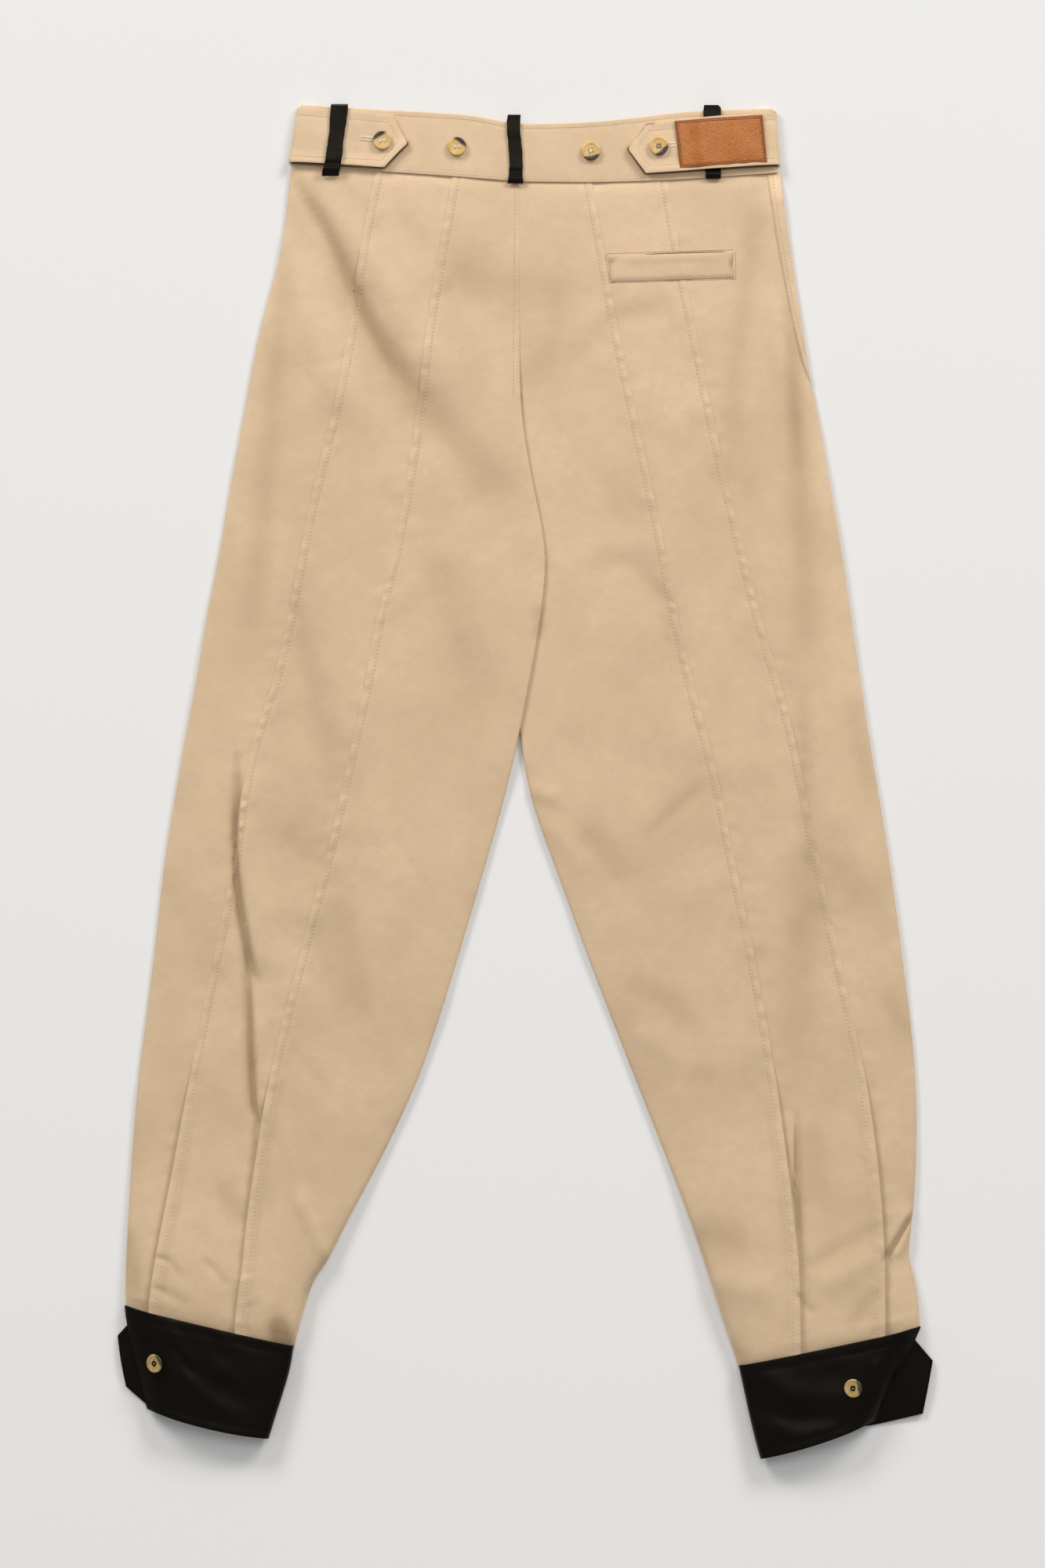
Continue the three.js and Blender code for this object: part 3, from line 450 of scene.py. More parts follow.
def soften_rim(obj, width):
    """Rounds the upper edge of a wall's rim."""
    shape = bmesh.new()
    shape.from_mesh(obj.data)
    side = shape.faces.layers.int["side"]
    edges = [edge for edge in shape.edges if {face[side] for face in edge.link_faces} == {0, 1}]
    bmesh.ops.bevel(
        shape, geom=edges, offset=width, offset_type="OFFSET", affect="EDGES", segments=2, profile=0.5,
        material=-1, clamp_overlap=True,
    )
    shape.to_mesh(obj.data)
    shape.free()


# %% [markdown]
# Where two panels meet, the seam's line is needed: the laps, stitches and puckers all follow it. It is the edge
# between the outside and the rim on one side of a panel, read as rows of x, y, z in millimetres.

# %% Reading a rim
NEAR_FLOOR = 2.0  # a rim's points below this height are where it turns under


def rim_line(obj, direction):
    """The points of a piece's upper edge whose rim faces direction, in order along the edge."""
    shape = bmesh.new()
    shape.from_mesh(obj.data)
    side = shape.faces.layers.int["side"]
    facing = Vector(direction)
    found = set()
    for edge in shape.edges:
        sides = {face[side]: face for face in edge.link_faces}
        if 0 in sides and 1 in sides and sides[1].normal.dot(facing) > 0.75:
            found.update(v.index for v in edge.verts if v.co.z > NEAR_FLOOR * MM)
    shape.verts.ensure_lookup_table()
    points = np.array([shape.verts[i].co[:] for i in found]).reshape(-1, 3) / MM
    shape.free()
    axis = 1 if abs(direction[0]) > 0.5 else 0
    return points[np.argsort(points[:, axis])]


# %% [markdown]
# Folds are heights that are added to a surface, so they need a few small functions of place: a smooth step, smooth
# random heights, a rounded line through some points, and the distance from such a line.


# %% Small number tools
def ease(low, high, value):
    """0 below low and 1 above high, with a smooth step between them."""
    t = np.clip((value - low) / (high - low), 0, 1)
    return t * t * (3 - 2 * t)


def soft_noise(x, y, size, seed):
    """Random heights from -1 to 1 that change smoothly over about size millimetres."""
    half = int(700 / size) + 2
    lattice = np.random.default_rng(seed).uniform(-1, 1, (2 * half + 2, 2 * half + 2))
    u, v = x / size + half, y / size + half
    i, j = u.astype(int), v.astype(int)
    fu, fv = ease(0, 1, u - i), ease(0, 1, v - j)
    low = lattice[i, j] * (1 - fu) + lattice[i + 1, j] * fu
    high = lattice[i, j + 1] * (1 - fu) + lattice[i + 1, j + 1] * fu
    return low * (1 - fv) + high * fv


def smooth_path(points, steps=6):
    """A rounded line through a few points."""
    p = np.array([points[0], *points, points[-1]], float)
    t = np.linspace(0, 1, steps, endpoint=False)[:, None]
    out = []
    for a, b, c, d in zip(p, p[1:], p[2:], p[3:]):
        out.append(b + 0.5 * t * (c - a + t * (2 * a - 5 * b + 4 * c - d + t * (3 * (b - c) + d - a))))
    return np.vstack([*out, p[-1:]])


def path_distance(x, y, path):
    """How far each point is from a path, and at which share of it."""
    nearest = np.full(x.shape, 1e9)
    share = np.zeros(x.shape)
    for i, (a, b) in enumerate(zip(path, path[1:])):
        run = b - a
        t = np.clip(((x - a[0]) * run[0] + (y - a[1]) * run[1]) / max(run @ run, 1e-9), 0, 1)
        distance = np.hypot(x - a[0] - t * run[0], y - a[1] - t * run[1])
        share = np.where(distance < nearest, (i + t) / (len(path) - 1), share)
        nearest = np.minimum(nearest, distance)
    return nearest, share


print("a corner of three points becomes", len(smooth_path([(0, 0), (10, 0), (10, 10)])), "points")

# %% [markdown]
# ## Height of the folds
# The large folds are drawn as a table: each has a height, its half width at the two ends, and a few points that it
# runs through, in millimetres. A negative height is a trough. The shade is painted shade: how much darker the
# cloth's colour is painted there.

# %% The folds
FOLDS = [
    # height, painted shade, half width at the start and end, points
    # left leg, from the hip to the cuff
    (-2.4, 1.7, 4.0, 9, [(-181, 474), (-165, 446), (-150, 419), (-129, 373), (-112, 342), (-98, 321), (-80, 298)]),
    (-1.2, 0.6, 9, 15, [(-156, 415), (-135, 370), (-118, 338), (-104, 316), (-84, 290), (-62, 270)]),
    (-1.6, 0.7, 14, 18, [(-84, 300), (-46, 256), (-12, 212)]),
    (1.8, 0, 9, 16, [(-196, 440), (-182, 400), (-166, 350), (-148, 310), (-122, 272)]),
    (1.8, 0, 9, 14, [(-156, 458), (-131, 416), (-106, 378), (-84, 342), (-56, 302)]),
    (-0.4, 0.35, 8, 9, [(-106, 448), (-90, 432), (-72, 414)]),
    (-0.3, 0.6, 17, 17, [(-72, 390), (-20, 388), (40, 384)]),
    (-0.8, 0.7, 14, 24, [(-76, 186), (-52, 120), (-28, 46)]),
    (-1.0, 0.6, 8, 10, [(-184, 405), (-193, 330), (-199, 255), (-206, 180), (-212, 140), (-217, 100)]),
    (-1.0, 0.65, 10, 13, [(-180, 142), (-164, 71), (-150, 12)]),
    (-0.5, 0.7, 16, 16, [(-190, -36), (-170, -50), (-148, -62)]),
    (1.2, 0, 14, 14, [(-208, -98), (-180, -100), (-156, -106)]),
    (-2.6, 1.6, 3.0, 5.0, [(-224, 20), (-226, -46), (-223, -92), (-216.6, -129), (-210.5, -156)]),
    (-2.6, 1.6, 3.2, 4.6, [(-217, -134), (-215, -182), (-214, -210), (-212, -246), (-209, -262)]),
    (1.2, 0, 8, 9, [(-206, -70), (-201, -110), (-196, -150), (-198, -200)]),
    (-1.2, 0.6, 12, 13, [(-151, -90), (-134, -145), (-124, -196)]),
    (-0.4, 0.35, 10, 10, [(-166, -110), (-150, -150), (-142, -180)]),
    (-0.7, 0.3, 4, 5, [(-181, -206), (-166, -226), (-149, -244)]),
    (0.9, 0, 10, 8, [(-184, -180), (-192, -215), (-197, -240)]),
    (1.0, 0, 5, 7, [(-186, -262), (-180, -300), (-170, -336)]),
    (-0.5, 0.3, 14, 16, [(-240, -92), (-246, -130), (-250, -170)]),
    (-0.5, 0.3, 16, 18, [(-112, -120), (-104, -180), (-120, -240)]),
    (-0.6, 0.6, 7, 8, [(-238, -314), (-228, -330), (-218, -344)]),
    (1.8, 0, 6, 5, [(-178, -318), (-166, -345), (-155, -371)]),
    (-3.0, 1.6, 4, 6, [(-150, -370), (-157, -384), (-168, -402)]),
    (1.4, 3.0, 8, 12, [(-194, -412), (-187, -440), (-181, -468)]),
    (1.2, 0, 7, 7, [(-216, -382), (-213, -394), (-210, -406)]),
    (-1.0, 0.4, 2.5, 3, [(-287, -369), (-276, -373), (-265, -388)]),
    (-1.0, 0.4, 2.5, 3, [(-250, -371), (-240, -380), (-230, -393)]),
    (-1.0, 0.4, 3, 4, [(-290, -392), (-276, -398), (-258, -410)]),
    (-0.8, 0.9, 8, 8, [(-310, -346), (-306, -375), (-302, -406)]),
    # right leg, from the hip to the cuff
    (-1.2, 0.5, 8, 10, [(182, 446), (174, 390), (167, 339), (162, 290), (158, 240)]),
    (1.8, 0, 6, 8, [(187, 468), (190, 440), (194, 380), (197, 330), (203, 270)]),
    (-1.4, 0.9, 3, 7, [(200, 440), (205, 403), (208, 350), (210, 294), (214, 240)]),
    (-1.0, 0.8, 9, 13, [(208, 310), (214, 230), (218, 160), (218, 100)]),
    (-0.8, 0.7, 6, 7, [(215.5, 66), (218, 0), (222, -84)]),
    (-0.6, 0.5, 8, 8, [(252, 64), (262, 20), (268, -14)]),
    (-0.7, 0.45, 9, 9, [(34, 322), (62, 354), (92, 366), (116, 372)]),
    (-0.5, 0.4, 14, 16, [(20, 388), (24, 340), (10, 300)]),
    (-0.9, 0.55, 9, 11, [(48, 164), (76, 172), (96, 158), (112, 128), (122, 76)]),
    (-0.9, 0.6, 10, 11, [(46, -34), (64, -60), (80, -82)]),
    (-0.8, 0.45, 5, 5, [(94, -42), (116, -22), (138, -4)]),
    (-0.8, 0.9, 5, 5, [(8, 136), (11, 122), (9, 108)]),
    (1.2, 0, 5, 6, [(3, -6), (14, -10), (28, -14)]),
    (1.0, 0, 6, 8, [(14, -30), (34, -52), (44, -74)]),
    (-0.5, 0.45, 12, 14, [(238, -60), (262, -90), (288, -128)]),
    (-0.9, 0.6, 9, 11, [(76, -156), (106, -170), (130, -193)]),
    (0.9, 0, 9, 10, [(84, -196), (106, -206), (124, -222)]),
    (-0.5, 0.4, 8, 8, [(128, -226), (138, -232), (148, -235)]),
    (-0.7, 0.55, 14, 15, [(218, -88), (215, -155), (212, -222)]),
    (-0.7, 0.8, 13, 12, [(132, -350), (154, -356), (174, -360)]),
    (1.3, 0, 11, 13, [(142, -386), (166, -393), (194, -398)]),
    (-2.0, 0.8, 2.4, 4.0, [(211, -258), (212, -300), (212, -326), (214, -350)]),
    (-1.2, 0.5, 3, 2.5, [(213, -340), (216, -372), (220, -404)]),
    (-1.0, 0.5, 10, 12, [(222, -268), (225, -300), (222, -336)]),
    (-0.7, 0.5, 5, 6, [(218, -378), (248, -360), (278, -344)]),
    (1.3, 0, 9, 9, [(228, -394), (250, -382), (278, -366)]),
    (-1.0, 0.6, 6, 7, [(250, -428), (262, -410), (275, -394)]),
    (-2.2, 1.2, 1.8, 2.4, [(304, -331), (293, -348), (286, -360), (278, -373)]),
    (1.4, 0, 4, 4, [(303, -343), (296, -356), (287, -370)]),
    (-1.2, 0.8, 3, 3, [(211, -396), (217, -405), (224, -414)]),
    (-0.8, 0.9, 5, 5, [(157, -439), (166, -444), (175, -448)]),
    (-0.6, 0.5, 7, 8, [(280, -164), (290, -185), (301, -206)]),
    (-0.4, 0.25, 8, 8, [(205, -110), (208, -120), (212, -130)]),
]
print(len(FOLDS), "folds drawn by hand")

# %% [markdown]
# Along four lines the cloth folds over itself: on one side it stands higher, and it drops steeply along the line. A
# thin line of painted shade at the foot of the drop stands for the gap under the fold.

# %% Overlaps
OVERLAPS = [
    # drop, how far it fades out, side that stands higher (-1 is to the right), share where it begins to end, points
    (3.4, 16, -1, 0.78, [(-221, 20), (-223.5, -46), (-220, -92), (-213.5, -129), (-208.5, -156)]),
    (3.4, 14, -1, 0.50, [(-214.5, -134), (-212, -182), (-211, -210), (-209, -249), (-207, -275), (-213, -320),
                         (-216, -345)]),
    (1.3, 12, 1, 0.78, [(209, -262), (209, -300), (208.5, -330), (212, -368)]),
    (2.4, 12, 1, 0.78, [(306, -330), (295, -346), (288, -359), (280, -372)]),
]
DROP_HALF = 1.1  # half the width of the steep part
GAP_HALF = 0.9  # half the width of the dark line


def overlaps_at(x, y):
    """The height that the overlaps add at each point, and how dark the painted line of shade at their foot is."""
    total, line = np.zeros(x.shape), np.zeros(x.shape)
    for drop, fade, side, ending, points in OVERLAPS:
        path = smooth_path(points)
        distance, share = path_distance(x, y, path)
        # which side of the line a point is on, from the line's x at its y
        order = np.argsort(path[:, 1])
        signed = np.sign(side * (np.interp(y, path[order, 1], path[order, 0]) - x)) * distance
        ends = ease(0.0, 0.22, share) * (1 - ease(ending, 1.0, share))
        total += drop * ends * (ease(-DROP_HALF, DROP_HALF, signed) * np.exp(-((np.maximum(signed, 0) / fade) ** 2)))
        line = np.maximum(line, ends * np.exp(-(((signed + GAP_HALF) / GAP_HALF) ** 2)))
    return total, line


print(len(OVERLAPS), "overlaps")

# %% [markdown]
# The folds, the overlaps and three sizes of smooth noise add up to one height. Every piece that lies on the cloth
# reads the same function, so that layers stay one above the other.


# %% Adding up the folds
def sum_folds(x, y, column):
    """The heights (column 0) or painted shades (column 1) of all folds at each point."""
    total = np.zeros(x.shape)
    for fold in FOLDS:
        start, end, points = fold[2:]
        path = smooth_path(points)
        reach = 3 * max(start, end)
        (x0, y0), (x1, y1) = path.min(0) - reach, path.max(0) + reach
        near = (x > x0) & (x < x1) & (y > y0) & (y < y1)
        if fold[column] == 0 or not near.any():
            continue
        distance, share = path_distance(x[near], y[near], path)
        width = start + (end - start) * share
        taper = ease(-0.12, 0.25, share) * (1 - ease(0.75, 1.12, share))
        total[near] += fold[column] * taper * np.exp(-((distance / width) ** 2))
    return total


def fold_height(x, y):
    """Height, in millimetres, that the folds add at each point."""
    broad = 0.8 * soft_noise(x, y, 95, 11) + 0.5 * soft_noise(x, y, 42, 12)
    return sum_folds(x, y, 0) + overlaps_at(x, y)[0] + broad + 0.16 * soft_noise(x, y, 17, 13)


def fold_shade(x, y):
    """How much darker and warmer the cloth's colour is painted: shade in the depth of creases, and random mottle."""
    mottle = 0.32 * soft_noise(x, y, 46, 21) + 0.16 * soft_noise(x, y, 19, 22)
    return np.clip(sum_folds(x, y, 1) + np.maximum(mottle, 0), 0, DEEPEST)


seat = [fold_height(*np.array([[x], [380.0]]))[0] for x in (-150.0, -75.0, 75.0, 150.0)]
print("height across the seat, in mm:", [round(v, 1) for v in seat])

# %% [markdown]
# ## Back panels
# Each inner panel laps over its outer neighbour: its edge is folded and stitched down six millimetres in, and the
# thread draws the cloth into small puckers. The neighbour dips and runs under the lap, the tops run under the
# waistband, and the hems into the cuffs, so that no gap shows between pieces.

# %% Panels as smooth cloth
OUTWARD = {"left": (-1, 0, 0), "right": (1, 0, 0)}
CENTRE_KEEP = 35  # rims nearer the middle belong to the centre seam and the inseams
BACK = {
    f"back_{leg}_{place}": smoothed(as_object(copy_solid(f"back_{leg}_{place}"), f"back_{leg}_{place}_cloth"), 2)
    for leg in ("left", "right")
    for place in ("outer", "middle", "inner")
}
print(len(BACK), "back panels of", sum(len(piece.data.polygons) for piece in BACK.values()), "faces")

# %% [markdown]
# A seam is read from the panel that lies on top. The hem of a leg and the waist run across several panels, so their
# rims are joined and put in order.

# %% Seams, hems and waist
SEAMS = {}
for leg in ("left", "right"):
    for seam, above in (("outer", "middle"), ("inner", "inner")):
        line = rim_line(BACK[f"back_{leg}_{above}"], OUTWARD[leg])
        SEAMS[leg, seam] = line[np.abs(line[:, 0]) > CENTRE_KEEP]


def joined_rims(names, direction):
    """The rims of several pieces that face direction, as one line ordered by x."""
    line = np.vstack([rim_line(BACK[name], direction) for name in names])
    return line[np.argsort(line[:, 0])]


HEMS = {leg: joined_rims([f"back_{leg}_{p}" for p in ("outer", "middle", "inner")], (0, -1, 0)) for leg in OUTWARD}
WAIST = joined_rims(BACK, (0, 1, 0))
SIDE_SEAM = rim_line(BACK["back_right_outer"], (1, 0, 0))
CENTRE_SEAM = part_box("front_left")[1].x / MM
print("seams run from y", {name: (round(line[0, 1]), round(line[-1, 1])) for name, line in SEAMS.items()})

# %% [markdown]
# The mesh is made fine enough to bend: everywhere to edges of a few millimetres, finer beside the seams, and finest
# along the overlaps.

# %% Finer cloth
LONGEST_EDGE = 3.6
SEAM_BORDER = 13
OVERLAP_BORDER, OVERLAP_EDGE = 6, 1.2


def seam_distance(line, x, y):
    """Signed distance in x from a seam to each point."""
    return x - np.interp(y, line[:, 1], line[:, 0])


def near_seam(x, y, length, steep):
    """Picks the lengthwise edges beside a seam."""
    return steep & np.any([np.abs(seam_distance(line, x, y)) < SEAM_BORDER for line in SEAMS.values()], axis=0)


def near_overlap(x, y, length, steep):
    """Picks the edges close to an overlap."""
    near = [path_distance(x, y, smooth_path(points))[0] < OVERLAP_BORDER for *_, points in OVERLAPS]
    return (length > OVERLAP_EDGE) & np.any(near, axis=0)


for name, piece in BACK.items():
    refine(piece, lambda x, y, length, steep: length > LONGEST_EDGE)
    refine(piece, near_seam)
    refine(piece, near_overlap)
    soften_rim(piece, 0.35 * MM)
    print(name, len(piece.data.polygons), "faces")

# %% [markdown]
# The shaping works on all points of a mesh at once, as arrays in millimetres. A panel's border turns under towards the
# floor, and `upper_layer` is 0 there, so that folds shape the upper side alone.


# %% Reading and writing points
def read_points(obj):
    """A piece's points and normals, in millimetres."""
    points = np.empty(len(obj.data.vertices) * 3, np.float32)
    obj.data.vertices.foreach_get("co", points)
    normals = np.empty(len(points), np.float32)
    obj.data.vertex_normals.foreach_get("vector", normals)
    return points.reshape(-1, 3).astype(float) / MM, normals.reshape(-1, 3).astype(float)


def write_points(obj, points):
    """Moves a piece's points to their places in millimetres."""
    obj.data.vertices.foreach_set("co", (points * MM).astype(np.float32).ravel())
    obj.data.update()


def write_values(obj, name, values):
    """Gives each point of a piece a number that its finish reads by name."""
    attribute = obj.data.attributes.get(name) or obj.data.attributes.new(name, "FLOAT", "POINT")
    attribute.data.foreach_set("value", values.astype(np.float32))


def lay_grain(obj, lean=0.0):
    """Writes each point's place on its piece, in millimetres, turned so that the grain leans by an angle."""
    x, y, z = read_points(obj)[0].T
    c, s = math.cos(math.radians(lean)), math.sin(math.radians(lean))
    grain = np.column_stack([c * x + s * y, c * y - s * x, 0.2 * z])
    attribute = obj.data.attributes.new("grain", "FLOAT_VECTOR", "POINT")
    attribute.data.foreach_set("vector", grain.astype(np.float32).ravel())


def upper_layer(z):
    """1 on the upper side of a piece, and 0 where it turns under to the floor."""
    return ease(1.0, 2.6, z)


print("points in the left inner panel:", len(read_points(BACK["back_left_inner"])[0]))

# %% [markdown]
# At a seam the panel on top is folded, puckered and drawn in by its topstitch, and its very edge bends down. The
# panel below dips and runs a little way under. Near the cuffs the laps stand prouder, and there the lower border
# rises again under the lap, which closes the slot between the two.

# %% Laps and tucks
STITCH_LINE = 5.6  # from the folded edge of a lap to its topstitch
TUCK_UNDER = 2.4  # how far the lower panel runs under the lap
LIP = 1.7  # how far its border rises there near the cuffs


def towards_cuff(y):
    """0 over the seat and thigh, 1 near the cuff, where the laps stand proud."""
    return ease(205, 275, -y)


def solid_step(y):
    """How far the solids' own laps stand above their neighbours."""
    return 0.3 + 1.2 * ease(0, 425, -y)


def shape_lap(points, line, into, seed):
    """The border on top: raised, puckered, with the topstitch drawn in. Returns the shade painted along the topstitch.
    """
    x, y, z = points.T
    d = into * seam_distance(line, x, y)
    inside = ease(-1.0, 0.0, d) * upper_layer(z)
    rough = soft_noise(d * 0.25, y, 5.0, seed)
    slow = soft_noise(d * 0.2, y, 13.0, seed + 1)
    low = towards_cuff(y)
    # the thickness of the fold, with short puckers on it and longer ones beyond the stitches
    z += inside * (0.12 + 1.5 * low) * (1 - ease(STITCH_LINE - 1, 2.2 * STITCH_LINE, d))
    z += inside * (0.55 - 0.3 * low) * rough * np.exp(-(((d - 3.0) / 2.4) ** 2))
    z += inside * (0.42 - 0.2 * low) * slow * np.exp(-(((d - 10) / 6) ** 2))
    # the dent of the topstitch, and the edge that bends down
    z -= inside * 0.42 * np.exp(-(((d - STITCH_LINE) / 1.2) ** 2))
    z -= inside * (0.25 + 0.45 * low) * (1 - ease(0, 2.5, d))
    return inside * np.exp(-(((d - STITCH_LINE) / 0.9) ** 2)) * (0.4 - 0.34 * low)


def shape_tuck(points, line, into, seed):
    """The border below: it dips and runs a little way under the lap. Returns the shade painted beside the lap's edge.
    """
    x, y, z = points.T
    d = into * seam_distance(line, x, y)
    inside = upper_layer(z)
    low = towards_cuff(y)
    # the step down, less what the solids have of it, with a groove and puckers at its foot
    z -= inside * (0.35 + 1.4 * low - solid_step(y)) * (1 - ease(0, 12, d))
    z -= inside * (0.12 + 0.4 * low) * np.exp(-(((d - 1.5) / 4) ** 2))
    z += inside * 0.30 * soft_noise(d * 0.2, y, 8.0, seed) * np.exp(-(((d - 5) / 5) ** 2))
    # the lip, and the strip that runs under
    z += inside * LIP * low * (1 - ease(0, 1.6, d))
    x -= into * inside * TUCK_UNDER * (1 - ease(0, 5, d))
    return inside * np.exp(-((np.maximum(d, 0) / (1.2 + 1.1 * low)) ** 2)) * (0.2 + 0.75 * low)


print("laps are topstitched", STITCH_LINE, "mm from their edge")

# %% [markdown]
# The top of each panel runs under the waistband, and its hem into the cuff. Down the centre back the right half runs
# under the left. At the right hip the side seam has rolled to the upper side, so the back's border comes down to the
# strip of the front that shows beside it.

# %% Ends, centre back and hip
END_UNDER = 3.0  # how far tops and hems run under
CENTRE_TOP = (298, 308)  # the solids are one flat strip below this
CENTRE_UNDER = 2.6
HIP_DROP, HIP_LAP = 0.9, 1.6


def shape_ends(points, leg):
    """Bends the top and the hem under, and returns where the cloth is free of them."""
    x, y, z = points.T
    upper = upper_layer(z)
    below_waist = np.interp(x, WAIST[:, 0], WAIST[:, 1]) - y
    above_hem = y - np.interp(x, HEMS[leg][:, 0], HEMS[leg][:, 1])
    z -= upper * 1.7 * (1 - ease(0, 7, below_waist))
    y += upper * END_UNDER * (1 - ease(0, 6, below_waist))
    z -= upper * 1.8 * (1 - ease(0, 9, above_hem))
    y -= upper * END_UNDER * (1 - ease(0, 7, above_hem))
    return ease(2, 30, below_waist) * ease(0, 16, above_hem)


def shape_centre(points, leg):
    """The right border runs under the left one, which bends down to it."""
    x, y, z = points.T
    reach = ease(*CENTRE_TOP, y) * upper_layer(z)
    if leg == "left":
        z -= reach * 0.3 * (1 - ease(0, 2.5, CENTRE_SEAM - x))
        return
    d = x - CENTRE_SEAM
    z -= reach * 0.45 * (1 - ease(0, 6, d))
    x -= reach * CENTRE_UNDER * (1 - ease(0, 5, d))


def shape_hip(points, was, upper):
    """At the hip the back laps over the front by a little; returns the shade painted along that edge."""
    inwards = -seam_distance(SIDE_SEAM, was[:, 0], was[:, 1])
    at_hip = upper * ease(SIDE_SEAM[0, 1] - 10, SIDE_SEAM[0, 1] + 6, was[:, 1])
    points[:, 2] -= at_hip * HIP_DROP * (1 - ease(0, 16, inwards))
    points[:, 0] += at_hip * HIP_LAP * (1 - ease(0, 5, inwards))
    return at_hip * 0.35 * np.exp(-((inwards / 1.0) ** 2))


print("the hip's side seam starts at y", round(SIDE_SEAM[0, 1]))

# %% [markdown]
# A panel is shaped from the whole to the parts: its ends, the folds, then its own seams. Last, no point may sink into
# the layer of cloth below.

# %% Shaping a panel
UPPER_CLEAR, LOWER_CLEAR = 2.2, 1.2  # least heights of a panel's upper and lower side
GRAIN_LEAN = 10


def shape_panel(name, seed):
    """Folds, seams and shade for one panel of the back."""
    piece = BACK[name]
    leg, place = name.split("_")[1:]
    points, normals = read_points(piece)
    into = 1 if leg == "left" else -1
    wear_and_painted_shade = np.zeros(len(points))
    was = points.copy()
    free = shape_ends(points, leg)
    upper = upper_layer(was[:, 2])
    points[:, 2] += upper * free * fold_height(was[:, 0], was[:, 1])
    if place != "outer":
        wear_and_painted_shade += shape_lap(points, SEAMS[leg, "outer" if place == "middle" else "inner"], into, seed)
    if place != "inner":
        wear_and_painted_shade += shape_tuck(points, SEAMS[leg, "outer" if place == "outer" else "inner"], -into, seed + 5)
    if place == "inner":
        shape_centre(points, leg)
    if name == "back_right_outer":
        wear_and_painted_shade += shape_hip(points, was, upper)
    # painted shade of the gap under each overlap
    wear_and_painted_shade += 1.25 * upper * overlaps_at(was[:, 0], was[:, 1])[1]
    floor_height = np.where(normals[:, 2] > 0, UPPER_CLEAR, LOWER_CLEAR)
    lifted = np.maximum(points[:, 2], floor_height)
    points[:, 2] = np.where(was[:, 2] > floor_height, lifted, points[:, 2])
    write_points(piece, points)
    # The colour carries painted shade: along the seams, the hip and the overlaps, and in the creases with random
    # mottle.
    write_values(piece, "wear_and_painted_shade", np.clip(wear_and_painted_shade, 0, 2))
    write_values(piece, "painted_shade_and_mottle", upper * fold_shade(was[:, 0], was[:, 1]))
    lay_grain(piece, into * GRAIN_LEAN)


for number, name in enumerate(BACK):
    shape_panel(name, 100 + 10 * number)
    print(name, "is", round(BACK[name].dimensions.z / MM, 1), "mm high")

# %% [markdown]
# ## Front panels
# The fronts lie on the floor, and only their turned-up edges show: most of all at the right hip, where the side seam
# runs on the upper side. They share the folds of the back, so that both layers bend together there.

# %% Fronts and fly
FRONT = {}
for name in ("front_left", "front_right", "front_fly"):
    piece = smoothed(as_object(copy_solid(name), f"{name}_cloth"), 1)
    points, _ = read_points(piece)
    upper = upper_layer(points[:, 2])
    below_waist = np.interp(points[:, 0], WAIST[:, 0], WAIST[:, 1]) - points[:, 1]
    points[:, 2] += upper * ease(2, 30, below_waist) * fold_height(points[:, 0], points[:, 1])
    points[:, 2] -= upper * 1.5 * (1 - ease(0, 7, below_waist))
    points[:, 1] += upper * END_UNDER * (1 - ease(0, 6, below_waist))
    write_points(piece, points)
    write_values(piece, "wear_and_painted_shade", np.zeros(len(points)))
    lay_grain(piece, -GRAIN_LEAN if "right" in name else GRAIN_LEAN)
    FRONT[name] = piece
print("fronts:", [len(p.data.polygons) for p in FRONT.values()], "faces")

# %% [markdown]
# ## Waistband and tabs
# The stitches on a flat piece follow its outline at a set distance. The closed outline is read from the mesh: it is the
# edge between the outside and the rim.


# %% Outline of a flat piece
def outline(obj):
    """The closed edge of a piece's outside, as points in order, in millimetres."""
    shape = bmesh.new()
    shape.from_mesh(obj.data)
    side = shape.faces.layers.int["side"]
    rim = [edge for edge in shape.edges if {face[side] for face in edge.link_faces} == {0, 1}]
    neighbours = {}
    for edge in rim:
        a, b = edge.verts
        neighbours.setdefault(a, []).append(b)
        neighbours.setdefault(b, []).append(a)
    start = rim[0].verts[0]
    loop, last = [start], None
    while True:
        following = [v for v in neighbours[loop[-1]] if v is not last]
        last = loop[-1]
        if not following or following[0] is start:
            break
        loop.append(following[0])
    points = np.array([v.co[:] for v in loop]) / MM
    shape.free()
    return points


# %% [markdown]
# Stitches lie at even steps along a line. Their thread dents the cloth, with small puckers on either side.


# %% Along a line
def evenly(path, step):
    """Points at even steps along a line, and the line's direction at each."""
    path = np.asarray(path, float)[:, :2]
    runs = np.hypot(*np.diff(path, axis=0).T)
    along = np.concatenate([[0], np.cumsum(runs)])
    at = np.arange(step / 2, along[-1], step)
    places = np.column_stack([np.interp(at, along, path[:, k]) for k in (0, 1)])
    ahead = np.column_stack([np.interp(at + 0.3, along, path[:, k]) for k in (0, 1)])
    behind = np.column_stack([np.interp(at - 0.3, along, path[:, k]) for k in (0, 1)])
    return places, ahead - behind


def draw_in(points, path, depth, width, seed, where):
    """The dent that a stitched line makes, with small puckers beside it; where is 0 at points that stay."""
    distance, _ = path_distance(points[:, 0], points[:, 1], np.asarray(path, float)[:, :2])
    pull = np.exp(-((distance / width) ** 2))
    beside = np.exp(-(((distance - 2.2 * width) / (1.5 * width)) ** 2))
    rough = soft_noise(points[:, 0], points[:, 1], 5.5, seed)
    points[:, 2] += where * (-depth * pull + 0.45 * depth * rough * beside)


print("steps of 2.5 mm along 10 mm:", len(evenly([(0, 0), (10, 0)], 2.5)[0]))

# %% [markdown]
# A corner is where the outline, walked in even steps, turns by more than some angle. The line of stitches is the same
# polygon with its corners moved inwards.

